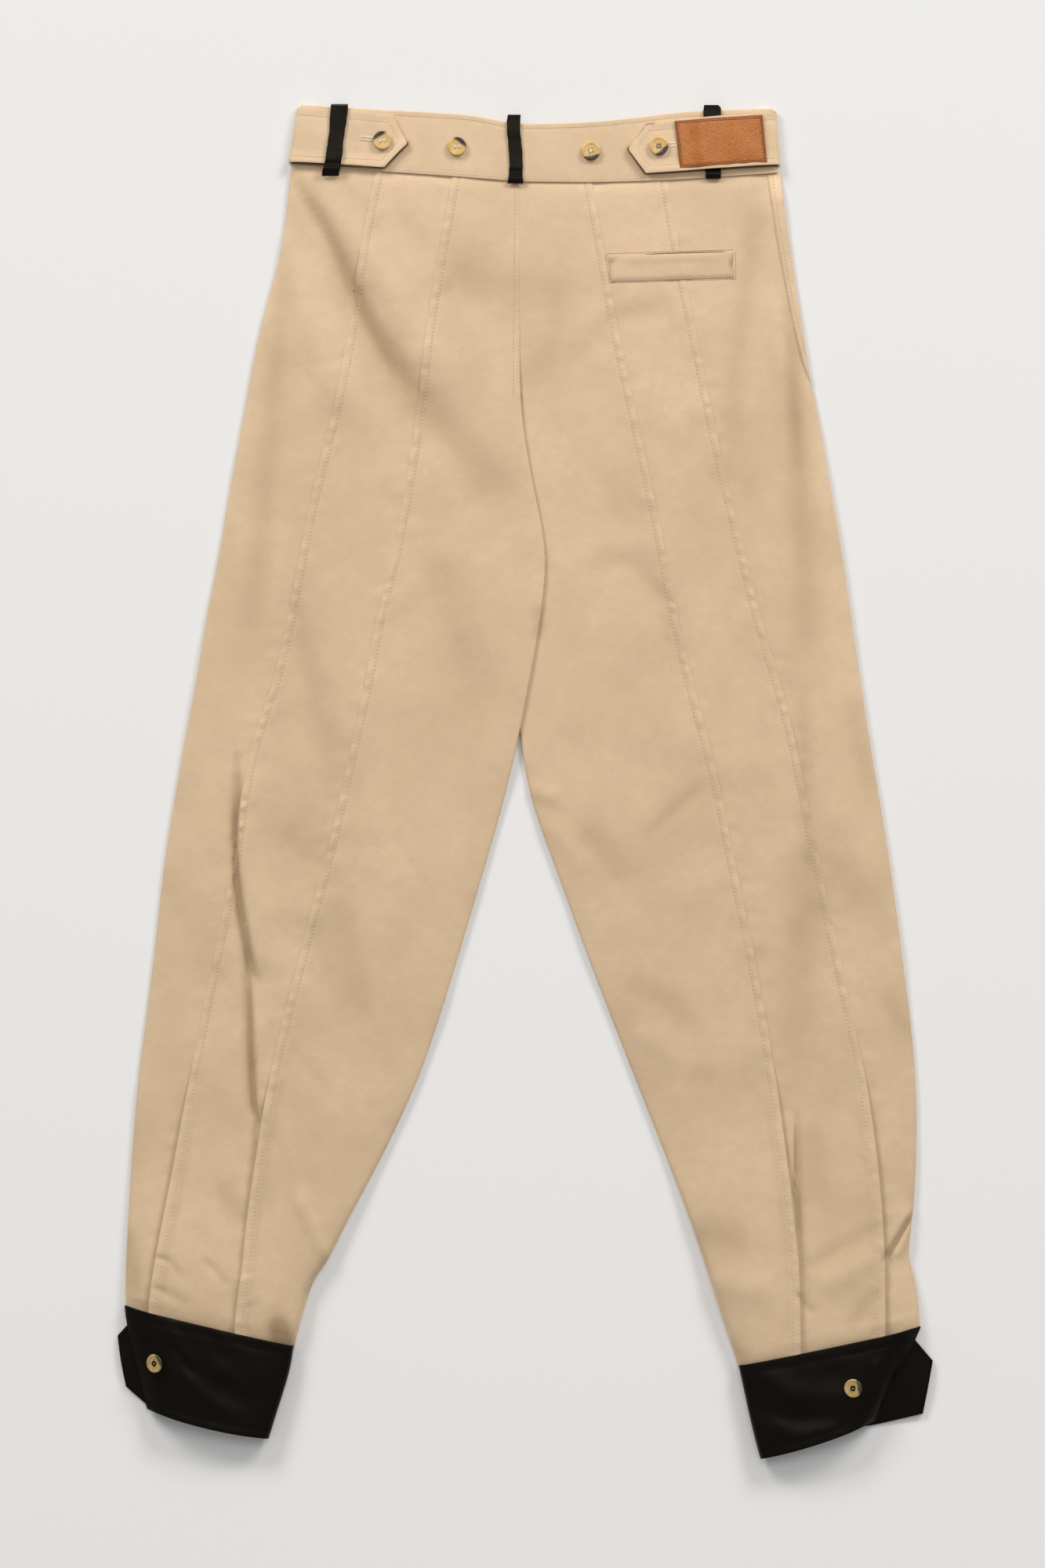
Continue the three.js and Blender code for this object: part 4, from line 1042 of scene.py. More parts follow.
# %% Corners
CORNER_REACH = 4  # a corner is looked for over this many millimetres on either side


def corner_points(loop, turn=14):
    """The corners of an outline seen from above, walked in steps of a millimetre."""
    flat = evenly(np.vstack([loop, loop[:1]]), 1.0)[0]
    turns = []
    for i, point in enumerate(flat):
        back, ahead = flat[i - CORNER_REACH] - point, flat[(i + CORNER_REACH) % len(flat)] - point
        cosine = -(back @ ahead) / (np.linalg.norm(back) * np.linalg.norm(ahead) + 1e-9)
        turns.append(math.degrees(math.acos(np.clip(cosine, -1, 1))))
    corners = []
    for i, angle in enumerate(turns):
        window = [turns[(i + k) % len(turns)] for k in range(-CORNER_REACH, CORNER_REACH + 1)]
        if angle > turn and angle == max(window):
            corners.append(flat[i])
    return np.array(corners)


def inset(corners, distance):
    """A closed line of corners, moved inwards by distance."""
    centre = corners.mean(0)
    moved = []
    for i, corner in enumerate(corners):
        sides = []
        for a, b in ((corners[i - 1], corner), (corner, corners[(i + 1) % len(corners)])):
            across = np.array([b[1] - a[1], a[0] - b[0]]) / (np.linalg.norm(b - a) + 1e-9)
            sides.append(across if across @ (centre - corner) > 0 else -across)
        both = sides[0] + sides[1]
        both = both / np.linalg.norm(both)
        moved.append(corner + both * distance / max(both @ sides[0], 0.4))
    return np.array([*moved, moved[0]])


print("a corner 5 mm inside a square's:", inset(np.array([(0, 0), (20, 0), (20, 20), (0, 20)]), 5)[0].round(1))

# %% [markdown]
# The band and the tabs are two plies with a stiffener between them, so they stay flat and only ripple a little.
# The ripple is one function of place, read by the band and by all that lies on it.


# %% Waistband
def waist_ripple(x, y):
    """Height of the ripple in the waistband."""
    return 0.32 * soft_noise(x, y, 60, 31) + 0.16 * soft_noise(x, y, 24, 32)


def facing_up(normals):
    """1 on the flat of a thin piece, and 0 on its rim."""
    return ease(0.2, 0.7, np.abs(normals[:, 2]))


def flat_cloth(node, levels, fine, rim=0.45, corners=False, suffix="cloth"):
    """A copy of a flat strip, smoothed and with no edge longer than fine, and its lines before its rim is rounded."""
    shape = copy_solid(node)
    if corners:
        keep_corners(shape)
    piece = smoothed(as_object(shape, f"{node}_{suffix}"), levels)
    lines = {"outline": outline(piece), "top": rim_line(piece, (0, 1, 0)), "foot": rim_line(piece, (0, -1, 0))}
    refine(piece, lambda x, y, length, steep: length > fine)
    soften_rim(piece, rim * MM)
    return piece, lines


TAB_LIFT = 1.5  # the free borders of the tabs stand this much off the band


def shape_flat(piece, paths, seed, depth=0.25, lift=None, grain=90):
    """Ripples a piece with the waist, draws its stitched lines in and lifts it along a line."""
    points, normals = read_points(piece)
    upper = upper_layer(points[:, 2])
    facing = facing_up(normals)
    points[:, 2] += upper * waist_ripple(points[:, 0], points[:, 1])
    if lift is not None:
        edge, _ = path_distance(points[:, 0], points[:, 1], lift)
        points[:, 2] += upper * TAB_LIFT * (1 - ease(0, 11, edge))
        points[:, 2] += upper * facing * 0.35 * soft_noise(points[:, 0], points[:, 1], 12, seed + 9)
    for number, path in enumerate(paths):
        draw_in(points, path, depth, 0.9, seed + number, upper * facing)
    write_points(piece, points)
    write_values(piece, "wear_and_painted_shade", np.zeros(len(points)))
    lay_grain(piece, grain)


band, band_lines = flat_cloth("waistband_back", 2, 3.0)
BAND_TOP_STITCH = band_lines["top"][:, :2] - (0, 3.4)
BAND_FOOT_STITCH = band_lines["foot"][:, :2] + (0, 2.3)
front_bands = {}
for name in ("waistband_front_left", "waistband_front_right"):
    front_bands[name], _ = flat_cloth(name, 1, 20)
    shape_flat(front_bands[name], [], 43)
print("waistband:", len(band.data.polygons), "faces")

# %% [markdown]
# Each tab is a pointed strip that buttons over the waistband near the side. Its topstitch follows the border, and
# runs on round the side, so the end that lies there has none.

# %% Adjuster tabs
TAB_STITCH = 5.4  # from a tab's edge to its topstitch
tabs, tab_paths, tab_feet = {}, {}, {}
for name, outward in (("tab_left", -1), ("tab_right", 1)):
    tabs[name], lines = flat_cloth(name, 2, 2.2, corners=True)
    corners = corner_points(lines["outline"])
    inner_line = inset(corners, TAB_STITCH)
    at_side = np.argsort(inner_line[:-1, 0] * outward)[-2:]
    start = next(i for i in at_side if (i + 1) % len(corners) not in at_side)
    inner_line = np.roll(inner_line[:-1], -start, axis=0)
    inner_line[[0, -1], 0] += outward * (TAB_STITCH - 1)
    tab_paths[name] = inner_line
    # the lower border is all of the outline that lies no higher than the tip
    tip = corners[np.argmin(corners[:, 0] * outward)]
    below = corners[corners[:, 1] <= tip[1]]
    tab_feet[name] = below[np.argsort(below[:, 0])]
    shape_flat(tabs[name], [inner_line], 51, 0.3, lift=tab_feet[name])
    print(name, "corners", [tuple(round(v) for v in c) for c in corners])

# %% [markdown]
# The free lower border of a tab stands a little off the band, and a narrow shadow is painted under it. The band is
# made fine enough along that border to hold so narrow a painted shadow.

# %% Painted shade under the tabs
FOOT_BORDER, FOOT_EDGE = 5, 1.0


def feet_distance(x, y):
    """How far each point is from the lower border of the nearest tab."""
    return np.min([path_distance(x, y, foot)[0] for foot in tab_feet.values()], axis=0)


def near_tab(x, y, length, steep):
    """Picks the edges of the band close to the lower border of a tab."""
    return (length > FOOT_EDGE) & (feet_distance(x, y) < FOOT_BORDER)


refine(band, near_tab)
refine(band, near_tab)
shape_flat(band, [BAND_TOP_STITCH, BAND_FOOT_STITCH], 41, 0.28)
points, _ = read_points(band)
foot_distance = feet_distance(points[:, 0], points[:, 1])
# a narrow painted shadow under each tab's lower border, and a broader painted shade round it
write_values(band, "wear_and_painted_shade", 2.0 * np.exp(-((np.maximum(foot_distance - 0.8, 0) / 0.9) ** 2)))
write_values(band, "painted_shade_and_mottle", 1.4 * np.exp(-((foot_distance / 3.0) ** 2)))
print("waistband, finer under the tabs:", len(band.data.polygons), "faces")

# %% [markdown]
# ## Welt pocket
# The welt is a narrow folded strip sewn down at its foot and its ends. Its upper edge is free and bulges a little,
# and each of its ends has a small crease where the cloth is caught.

# %% Welt
WELT_DARKENING = 0.12
welt, welt_lines = flat_cloth("pocket_welt", 2, 2.0, rim=0.3, corners=True)
points, _ = read_points(welt)
x, y, z = points.T
top_y = np.interp(x, welt_lines["top"][:, 0], welt_lines["top"][:, 1])
foot_y = np.interp(x, welt_lines["foot"][:, 0], welt_lines["foot"][:, 1])
left_x, right_x = (v / MM for v in (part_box("pocket_welt")[0].x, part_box("pocket_welt")[1].x))
to_foot, to_top, to_end = y - foot_y, top_y - y, np.minimum(x - left_x - 1, right_x - x)
z += fold_height(x, y)
# sewn down at the foot and the ends, with a bulge below the free edge
z -= 0.85 * (1 - ease(0, 3.0, np.minimum(to_foot, to_end)))
z += 0.5 * np.exp(-(((to_top - 3) / 3.5) ** 2)) * ease(4, 20, to_end)
# rumpled, most of all at the left, and caught at both ends
z += 0.45 * soft_noise(x, y, 9, 61) * (np.exp(-((x - left_x) / 12) ** 2) + 0.25)
z -= 0.6 * np.exp(-((np.hypot(x - left_x - 5, y - top_y + 3) / 3) ** 2))
z -= 0.7 * np.exp(-((np.hypot((x - right_x + 1) * 2, y - top_y + 9) / 4) ** 2))
write_points(welt, points)
# The welt's colour is painted a little darker all over, with painted shade in the creases at its ends.
write_values(welt, "wear_and_painted_shade", np.full(len(points), WELT_DARKENING))
creases = np.exp(-((np.hypot(x - left_x - 3, 1.6 * (y - top_y + 4)) / 3.2) ** 2))
creases += np.exp(-((np.hypot(x - right_x + 2, 0.4 * (y - top_y + 9)) / 1.6) ** 2))
write_values(welt, "painted_shade_and_mottle", 0.25 + 0.4 * np.exp(-((to_end / 3) ** 2)) + 1.8 * creases)
lay_grain(welt)
print("welt:", len(welt.data.polygons), "faces")

# %% [markdown]
# Above the welt the pocket's mouth shows as a dark slit. It gapes most in the middle, so a long flat ellipsoid of
# dark twill stands for the shade in it, a painted shade, and it bends with the cloth.

# %% Pocket slit
SLIT_HALF = (32, 0.65, 0.35)
SLIT_HEIGHT = 6.9
slit_shape = bmesh.new()
bmesh.ops.create_uvsphere(slit_shape, u_segments=48, v_segments=8, radius=1.0)
middle_x = left_x + 0.62 * (right_x - left_x)
slit_y = np.interp(middle_x, welt_lines["top"][:, 0], welt_lines["top"][:, 1]) + 0.5
slit_place = Matrix.Translation(Vector((middle_x, slit_y, SLIT_HEIGHT)) * MM)
slit_place = slit_place @ Matrix.Rotation(math.radians(1.9), 4, "Z")
slit_place = slit_place @ Matrix.Diagonal((*(half * MM for half in SLIT_HALF), 1))
bmesh.ops.transform(slit_shape, matrix=slit_place, verts=slit_shape.verts)
slit = as_object(slit_shape, "pocket_slit_shadow")
points, _ = read_points(slit)
points[:, 2] += fold_height(points[:, 0], points[:, 1])
write_points(slit, points)
write_values(slit, "wear_and_painted_shade", np.zeros(len(points)))
lay_grain(slit)
print("slit:", [round(v / MM, 1) for v in slit.dimensions], "mm")

# %% [markdown]
# ## Leather: loops, patch and cuffs
# The loops are narrow strips of coated leather, pressed a little hollow between band and floor, and uneven along
# their edges. Each is folded in at its foot, which makes a small bump there.

# %% Loops
loops = {}
for name, seed in (("loop_left", 71), ("loop_centre", 72), ("loop_right", 73)):
    piece, _ = flat_cloth(name, 3, 2.0, rim=0.35, corners=True, suffix="leather")
    points, normals = read_points(piece)
    x, y, z = points.T
    foot_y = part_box(name)[0].y / MM
    z += waist_ripple(x, y)
    z += 0.55 * soft_noise(x * 0.6, y, 11, seed) * ease(0.3, 0.8, np.abs(normals[:, 2]))
    x += 0.6 * soft_noise(x * 0.25, y, 8, seed + 10) + 0.25 * soft_noise(x, y, 2.6, seed + 20)
    if name == "loop_left":
        # this loop crosses the lifted border of a tab
        z += 1.25 * TAB_LIFT * ease(470, 477, y) * (1 - ease(484, 496, y))
    # the bump of the folded end, and the dip above it
    z += 0.9 * np.exp(-(((y - foot_y - 4) / 3.0) ** 2))
    z -= 0.8 * np.exp(-(((y - foot_y - 9) / 2.0) ** 2))
    write_points(piece, points)
    write_values(piece, "wear_and_painted_shade", np.zeros(len(points)))
    loops[name] = piece
print("loops:", [len(p.data.polygons) for p in loops.values()], "faces")

# %% [markdown]
# The patch is a plain rectangle of pebbled leather sewn round its border, with nothing printed on it. Its edges are
# worn thin and dark.

# %% Patch
patch, patch_lines = flat_cloth("patch", 2, 1.6, rim=0.35, corners=True, suffix="leather")
PATCH_STITCH = 1.8  # from the patch's edge to its stitches
PATCH_PATH = inset(corner_points(patch_lines["outline"], turn=40), PATCH_STITCH)
points, normals = read_points(patch)
x, y, z = points.T
edge, _ = path_distance(x, y, np.vstack([patch_lines["outline"], patch_lines["outline"][:1]])[:, :2])
z += waist_ripple(x, y) + 0.10 * soft_noise(x, y, 15, 81)
z -= 0.25 * (1 - ease(0, 1.6, edge))
draw_in(points, PATCH_PATH, 0.22, 0.8, 82, facing_up(normals))
write_points(patch, points)
write_values(patch, "wear_and_painted_shade", 0.9 * (1 - ease(0.2, 1.2, edge)) + 0.45 * (1 - ease(1.4, 4.0, edge)))
print("patch corners", [tuple(round(v, 1) for v in c) for c in PATCH_PATH[:-1]])

# %% [markdown]
# The cuffs are doubled leather, stiff enough to keep their bow. A long shallow fold runs across each, and a line of
# black stitches seven millimetres inside each edge draws the leather in.

# %% Cuffs
CUFF_STITCH = 7.3
CUFF_UPPER = 4.6  # the rim of a cuff's upper half lies above this height
CUFF_FOLDS = {
    # height, half width at the start and end, points
    "cuff_left": [
        (1.1, 7, 12, [(-276, -424), (-258, -446), (-226, -466)]),
        (-1.0, 6, 9, [(-262, -436), (-244, -462), (-220, -478)]),
        (0.8, 6, 9, [(-236, -430), (-222, -440), (-204, -460)]),
        (0.7, 5, 7, [(-262, -462), (-246, -478), (-226, -490)]),
        (-0.8, 3, 4, [(-272, -440), (-258, -458)]),
    ],
    "cuff_right": [
        (1.1, 8, 12, [(186, -462), (212, -474), (246, -478)]),
        (-1.0, 6, 9, [(180, -486), (204, -494), (232, -492)]),
        (0.8, 6, 8, [(196, -500), (214, -506), (236, -502)]),
        (-1.4, 3, 4, [(287, -446), (291, -454), (288, -466)]),
        (1.0, 4, 6, [(272, -452), (276, -470), (272, -488)]),
    ],
}
cuffs, cuff_paths = {}, {}
for name, folds in CUFF_FOLDS.items():
    piece, lines = flat_cloth(name, 3, 40, rim=0.4, corners=True, suffix="leather")
    points, normals = read_points(piece)
    x, y, z = points.T
    top, foot = (lines[key][lines[key][:, 2] > CUFF_UPPER][:, :2] for key in ("top", "foot"))
    cuff_paths[name] = [top - (0, CUFF_STITCH), foot + (0, CUFF_STITCH)]
    upper = ease(4.0, 7.0, z)
    facing = ease(0.2, 0.6, normals[:, 2])
    for height, start, end, run in folds:
        distance, share = path_distance(x, y, smooth_path(run))
        z += upper * height * np.exp(-((distance / (start + (end - start) * share)) ** 2))
    z += upper * 0.5 * soft_noise(x, y, 38, 91) + upper * 0.24 * soft_noise(x + y, y - x, 17, 92)
    for path in cuff_paths[name]:
        draw_in(points, path, 0.6, 1.1, 93, upper * facing)
    write_points(piece, points)
    write_values(piece, "wear_and_painted_shade", np.zeros(len(points)))
    cuffs[name] = piece
print("cuffs:", [len(p.data.polygons) for p in cuffs.values()], "faces")

# %% [markdown]
# ## Buttons
# One button is turned on a lathe: its profile is spun round the axis, and four holes are drilled with a boolean. All
# six are copies of it.

# %% One button
HOLE_SPREAD = 1.35  # from the middle to a hole, along each axis
HOLE_RADIUS = 0.62
PROFILE = [
    # distance from the axis, height
    (0, 2.15), (4.0, 2.2), (5.0, 2.3), (5.7, 2.45), (6.2, 2.55), (6.6, 2.5), (7.0, 2.25), (7.2, 1.8), (7.2, 1.4),
    (6.8, 0.7), (6.0, 0.2), (5.2, 0.0), (0, 0.0),
]


def make_button():
    """A button without holes, turned from the profile."""
    shape = bmesh.new()
    verts = [shape.verts.new((r * MM, 0, z * MM)) for r, z in PROFILE]
    edges = [shape.edges.new(pair) for pair in zip(verts, verts[1:])]
    bmesh.ops.spin(
        shape, geom=verts + edges, cent=(0, 0, 0), axis=(0, 0, 1), angle=2 * math.pi, steps=48, use_merge=True
    )
    bmesh.ops.remove_doubles(shape, verts=shape.verts, dist=0.001 * MM)
    bmesh.ops.recalc_face_normals(shape, faces=shape.faces)
    return as_object(shape, "button pattern")


def drill_holes(button):
    """Cuts four holes through a button."""
    shape = bmesh.new()
    for sx in (-1, 1):
        for sy in (-1, 1):
            place = Matrix.Translation(Vector((sx * HOLE_SPREAD, sy * HOLE_SPREAD, 1.5)) * MM)
            bmesh.ops.create_cone(
                shape, cap_ends=True, segments=14, radius1=HOLE_RADIUS * MM, radius2=HOLE_RADIUS * MM, depth=8 * MM,
                matrix=place,
            )
    drill = as_object(shape, "drill")
    cut = button.modifiers.new("holes", "BOOLEAN")
    cut.operation = "DIFFERENCE"
    cut.solver = "EXACT"
    cut.object = drill
    apply_modifiers(button)
    bpy.data.objects.remove(drill)


button_pattern = make_button()
drill_holes(button_pattern)
print("one button:", len(button_pattern.data.polygons), "faces")

# %% [markdown]
# Each copy goes to the seat of a plain button and is tilted as that is. At the waist it also rides on the band's
# ripple. The two on the cuffs stand on a shank of thread, so they lean further.

# %% Seats
CUFF_SEATS = {
    # degrees about the length of the legs, and rise in millimetres
    "button_cuff_left": (-15, 0.4),
    "button_cuff_right": (-22, 2.4),
}


def turn_about(axis, degrees):
    """A turn about one of the axes through the origin."""
    return Matrix.Rotation(math.radians(degrees), 4, axis)


def seat_of(node):
    """The place of a round solid: its foot's middle, with z along its axis."""
    points = np.array([v.co[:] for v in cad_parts[node].data.vertices])
    low, high = points.min(0), points.max(0)
    middle = (low + high) / 2
    axis = np.linalg.svd(points - points.mean(0), full_matrices=False)[2][2]
    axis = Vector(axis if axis[2] > 0 else -axis)
    foot = Vector(middle) + axis * float(((points - middle) @ np.array(axis)).min())
    return Matrix.Translation(foot) @ axis.to_track_quat("Z", "Y").to_matrix().to_4x4()


def dressed_seat(node):
    """The seat of a button on the shaped cloth or leather."""
    seat = seat_of(node)
    foot = seat.translation.copy()
    if node in CUFF_SEATS:
        lean, rise = CUFF_SEATS[node]
        raised = Matrix.Translation(foot + Vector((0, 0, rise * MM)))
        return raised @ turn_about("Y", lean) @ Matrix.Translation(-foot) @ seat
    ripple = waist_ripple(*(np.array([v / MM]) for v in foot[:2]))[0]
    return Matrix.Translation((0, 0, ripple * MM)) @ seat


print("left tab's button sits at", [round(v / MM, 1) for v in seat_of("button_tab_left").translation], "mm")

# %% [markdown]
# The copies differ in the turn of their holes, in the side of their dark crescent and in how they are sewn on: with two
# bars, a cross or a square of thread.

# %% Placing the buttons
BUTTONS = {
    # turn of the holes and direction of the dark crescent in degrees, finish, thread and its pattern
    "button_tab_left": (8, 120, horn, white_thread, "bars"),
    "button_band_left": (0, 55, horn, white_thread, "bars"),
    "button_band_right": (20, -80, horn, white_thread, "cross"),
    "button_tab_right": (0, -50, horn, grey_thread, "square"),
    "button_cuff_left": (40, 30, olive_horn, black_thread, "square"),
    "button_cuff_right": (-20, 10, olive_horn, black_thread, "square"),
}
BUTTON_WIDTH = 14


def place_button(node, seat, turn, dark, finish):
    """A copy of the pattern at its seat, with its crescent towards dark."""
    mesh = button_pattern.data.copy()
    mesh.name = f"{node}_horn"
    piece = bpy.data.objects.new(f"{node}_horn", mesh)
    bpy.context.scene.collection.objects.link(piece)
    mesh.transform(seat @ turn_about("Z", turn))
    mesh.set_sharp_from_angle(angle=math.radians(40))
    points, _ = read_points(piece)
    way = np.array([math.cos(math.radians(dark)), math.sin(math.radians(dark))])
    write_values(piece, "across", 0.5 + (points[:, :2] - points[:, :2].mean(0)) @ way / BUTTON_WIDTH)
    mesh.materials.append(finish)
    return piece


SEATS = {node: dressed_seat(node) for node in BUTTONS}
buttons = {node: place_button(node, SEATS[node], *row[:3]) for node, row in BUTTONS.items()}
print(len(buttons), "buttons")

# %% [markdown]
# The thread runs twice between two holes, so each stretch is a pair of thin beads side by side. On a cuff a short
# cone of thread below the button is its shank.

# %% Button threads
THREAD_HALF = 0.34  # half a bead's width
PAIR_OFFSET = 0.3  # of either bead from the middle of its pair
THREAD_HEIGHT = 2.3  # above the button's foot
PATTERNS = {
    # middle of each stretch of thread, in hole spreads, and its direction in degrees
    "bars": [((0, -1), 90), ((0, 1), 90)],
    "cross": [((0, 0), 45), ((0, 0), -45)],
    "square": [((0, -1), 90), ((0, 1), 90), ((-1, 0), 0), ((1, 0), 0)],
}


def thread_button(node, seat, turn, pattern):
    """The thread that holds a button, and its shank if it has one."""
    shape = bmesh.new()
    if node in CUFF_SEATS:
        bmesh.ops.create_cone(
            shape, cap_ends=True, segments=12, radius1=1.7 * MM, radius2=1.3 * MM, depth=4.0 * MM,
            matrix=seat @ Matrix.Translation((0, 0, -1.6 * MM)),
        )
    length = HOLE_SPREAD * (1.5 if pattern == "cross" else 1.25)
    for (sx, sy), angle in PATTERNS[pattern]:
        for offset in (-PAIR_OFFSET, PAIR_OFFSET):
            centre = Vector((sy * HOLE_SPREAD, sx * HOLE_SPREAD, THREAD_HEIGHT)) * MM
            spot = (
                seat @ turn_about("Z", turn) @ Matrix.Translation(centre)
                @ turn_about("Z", angle) @ Matrix.Translation((0, offset * MM, 0))
                @ Matrix.Diagonal((length * MM, THREAD_HALF * MM, THREAD_HALF * MM, 1))
            )
            bmesh.ops.create_uvsphere(shape, u_segments=8, v_segments=6, radius=1.0, matrix=spot)
    return as_object(shape, f"{node}_thread")


button_threads = {}
for node, (turn, _, _, thread, pattern) in BUTTONS.items():
    button_threads[node] = thread_button(node, SEATS[node], turn, pattern)
    button_threads[node].data.materials.append(thread)
bpy.data.objects.remove(button_pattern)
print("thread on a cuff's button:", len(button_threads["button_cuff_left"].data.polygons), "faces")

# %% [markdown]
# ## Stitches
# Stitches lie on the shaped cloth. A ray from above finds the place of each; where another piece lies higher, there
# is no stitch.

# %% Finding the cloth under a stitch
CLOTH_PIECES = {**BACK, **FRONT, "waistband_back": band, **front_bands, **tabs, "pocket_welt": welt}
LEATHER_PIECES = {**loops, "patch": patch, **cuffs}
SKY = 0.1  # rays start at this height
MARGIN = 4 * MM  # a shaped piece may reach this far beyond the box of its solid
trees = {}
for name, piece in {**CLOTH_PIECES, **LEATHER_PIECES, **buttons}.items():
    shape = bmesh.new()
    shape.from_mesh(piece.data)
    low, high = (np.array(v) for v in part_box(name))
    trees[name] = (BVHTree.FromBMesh(shape), low[:2] - MARGIN, high[:2] + MARGIN)
    shape.free()
print(len(trees), "pieces to find")


def cloth_under(x, y, names):
    """The point and normal on the highest piece at x and y, if that piece is one of names."""
    best, normal_there, owner = None, None, None
    for name, (tree, low, high) in trees.items():
        if not (low[0] < x < high[0] and low[1] < y < high[1]):
            continue
        point, normal, _, _ = tree.ray_cast(Vector((x, y, SKY)), Vector((0, 0, -1)))
        if point is not None and (best is None or point.z > best.z):
            best, normal_there, owner = point, normal, name
    return (best, normal_there) if owner in names else None


# %% [markdown]
# A stitch is a short, flattened bead of thread with its underside sunk in. It is far too small for more than a few
# faces. It is about three quarters as long as the pitch, and the rest is the gap to the next.

# %% Sewing
BATCH = 40  # beads are made this many at a time, because a small mesh is quick to add to
SEATED = 0.35  # height of a bead's middle above the cloth, as a share of the thread's thickness
FILLED = 0.78  # length of a stitch as a share of the pitch
THREAD_THICKNESS = 0.34
STITCHES = []


def repeat_bead(name, places):
    """One mesh with a bead at each place."""
    whole = bmesh.new()
    for first in range(0, len(places), BATCH):
        few = bmesh.new()
        for place in places[first : first + BATCH]:
            bmesh.ops.create_uvsphere(few, u_segments=6, v_segments=4, radius=1.0, matrix=place)
        mesh = bpy.data.meshes.new("few beads")
        few.to_mesh(mesh)
        few.free()
        whole.from_mesh(mesh)
        bpy.data.meshes.remove(mesh)
    return as_object(whole, name)


def lay_stitches(name, places, directions, size, thread, on, carrier):
    """Stitches at places, in millimetres, each along its direction, where one of the pieces in on lies highest."""
    length, width, thickness = size
    seats = []
    for (x, y), run in zip(places, directions):
        found = cloth_under(x * MM, y * MM, on)
        if found is None:
            continue
        point, normal = found
        along = Vector((*run, 0.0))
        along = (along - normal * along.dot(normal)).normalized()
        across = normal.cross(along)
        turned = Matrix((along, across, normal)).transposed().to_4x4()
        place = Matrix.Translation(point + normal * thickness * SEATED * MM) @ turned
        seats.append(place @ Matrix.Diagonal((length / 2 * MM, width / 2 * MM, thickness / 2 * MM, 1)))
    obj = repeat_bead(name, seats)
    obj.data.materials.append(thread)
    STITCHES.append((obj, carrier))
    print(f"{name}: {len(seats)} stitches")


def sew(name, path, pitch, thread, carrier, width=0.5, on=None):
    """A line of stitches on a carrier, or on the pieces in on, that belongs to the carrier."""
    places, directions = evenly(path, pitch)
    lay_stitches(name, places, directions, (FILLED * pitch, width, THREAD_THICKNESS), thread, on or [carrier], carrier)


# %% [markdown]
# The seams of the legs and the foot of the waistband are topstitched in a pale thread. The top of the band, the tabs,
# the centre back and the side have tan stitches, the patch brown ones, and the cuffs black ones.


# %% Topstitching
for leg, into in (("left", 1), ("right", -1)):
    for seam, above in (("outer", "middle"), ("inner", "inner")):
        line = SEAMS[leg, seam]
        path = np.column_stack([line[:, 0] + into * STITCH_LINE, line[:, 1]])
        sew(f"stitches_{leg}_{seam}_seam", path, 3.1, pale_thread, f"back_{leg}_{above}")
centre_path = [(CENTRE_SEAM - inside, y) for inside, y in ((5, 462), (5, 425), (6, 340), (6, 300))]
sew("stitches_centre_seam", centre_path, 2.8, tan_thread, "back_left_inner", 0.4)
side_path = np.column_stack([SIDE_SEAM[:, 0] + 5, SIDE_SEAM[:, 1]])
sew("stitches_side_seam", side_path, 2.8, tan_thread, "front_right", 0.4)
sew("stitches_band_top", BAND_TOP_STITCH, 2.5, tan_thread, "waistband_back", 0.36)
sew("stitches_band_foot", BAND_FOOT_STITCH, 2.5, pale_thread, "waistband_back", 0.4)
for name, path in tab_paths.items():
    sew(f"stitches_{name}", path, 2.5, tan_thread, name, 0.34)
sew("stitches_patch", PATCH_PATH, 2.0, brown_thread, "patch", 0.6)
for name, paths in cuff_paths.items():
    for place, path in zip(("top", "foot"), paths):
        sew(f"stitches_{name}_{place}", path, 3.2, black_thread, name)

# %% [markdown]
# A line of stitches frames the welt: it runs along the panel above the slit, down past both ends, and below the foot.

# %% Welt stitches
top, foot = welt_lines["top"][:, :2], welt_lines["foot"][:, :2]
welt_frame = [*(top[::-1] + (0, 2.0)), top[0] + (-2.2, 0), foot[0] + (-1.6, -0.9), *(foot - (0, 0.9)),
              foot[-1] + (1.4, -0.9), top[-1] + (1.8, 2.0)]
around_welt = ["back_right_inner", "back_right_middle", "back_right_outer", "pocket_welt"]
sew("stitches_welt", welt_frame, 2.3, welt_thread, "pocket_welt", 0.42, around_welt)

# %% [markdown]
# The two tabs button through worked buttonholes: short stitches side by side round a slit.

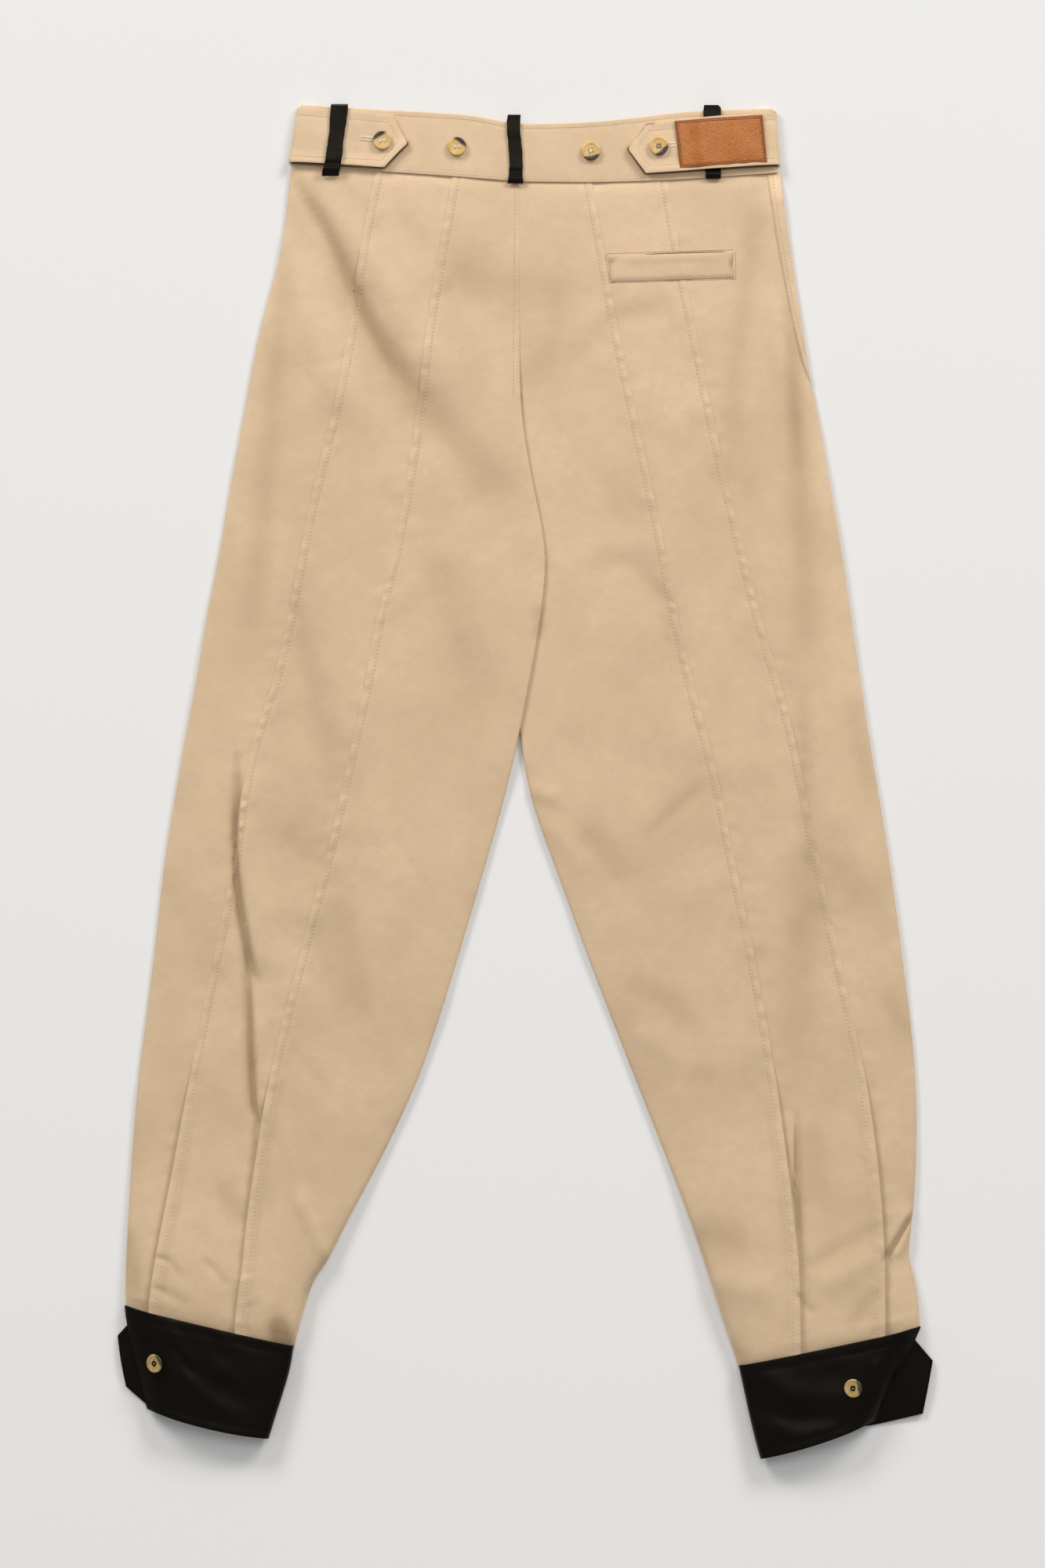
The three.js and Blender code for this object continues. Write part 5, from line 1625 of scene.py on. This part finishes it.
# %% Buttonholes
HOLE_PITCH = 0.62
HOLE_STITCH = (1.9, 0.5, 0.4)  # length, width and thickness
FROM_SLIT, FROM_END = 1.25, 1.35


def buttonhole(node, start, end):
    """Stitches across both edges of a slit in a tab, fanned round its far end. Both ends are seen from the button."""
    button = np.array(seat_of(f"button_{node}").translation)[:2] / MM
    start, end = button + start, button + end
    run = (end - start) / np.linalg.norm(end - start)
    across = np.array([-run[1], run[0]])
    places, directions = [], []
    for at in np.arange(0, np.linalg.norm(end - start), HOLE_PITCH):
        for sign in (-1, 1):
            places.append(start + run * at + across * sign * FROM_SLIT)
            directions.append(across)
    for angle in np.linspace(-80, 80, 6):
        c, s = math.cos(math.radians(angle)), math.sin(math.radians(angle))
        way = run * c + across * s
        places.append(end + way * FROM_END)
        directions.append(way)
    lay_stitches(f"buttonhole_{node[4:]}", places, directions, HOLE_STITCH, white_thread, [node], node)


buttonhole("tab_left", (-5, 0.6), (-16, 1.8))
buttonhole("tab_right", (5, 0.8), (13, 1.4))

# %% [markdown]
# ## Finishes and what each piece stands for
# Each new piece rides on the one body and replaces the plain solid it was made from. Cloth, leather and the slit's
# painted shade take their finish here; the buttons, their threads and the stitches have theirs already.

# %% Dressing the pieces
SLOT_OF = {"patch": "tan_leather", "cuff_left": "black_leather", "cuff_right": "black_leather"}


def dress(piece, slot, *nodes, finish=None):
    """Gives a piece its body, and a finish if it has none yet, and names the solids it replaces. slot is not used."""
    if finish:
        piece.data.materials.append(finish)
    piece.data.shade_smooth()
    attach(piece, "root")
    if nodes:
        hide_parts(*nodes)


for name, piece in CLOTH_PIECES.items():
    dress(piece, "twill", name, finish=twill)
for name, piece in {**loops, **cuffs}.items():
    dress(piece, "black_leather", name, finish=black_leather)
dress(patch, "tan_leather", "patch", finish=tan_leather)
for name, piece in buttons.items():
    dress(piece, "horn", name)
    dress(button_threads[name], "twill")
dress(slit, "twill", finish=pocket_shade)
for stitches, carrier in STITCHES:
    dress(stitches, SLOT_OF.get(carrier, "twill"))
print(len(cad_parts), "solids replaced")

# %% [markdown]
# Last, the cloth pieces are counted.


print("sheets declared:", len(CLOTH_PIECES))
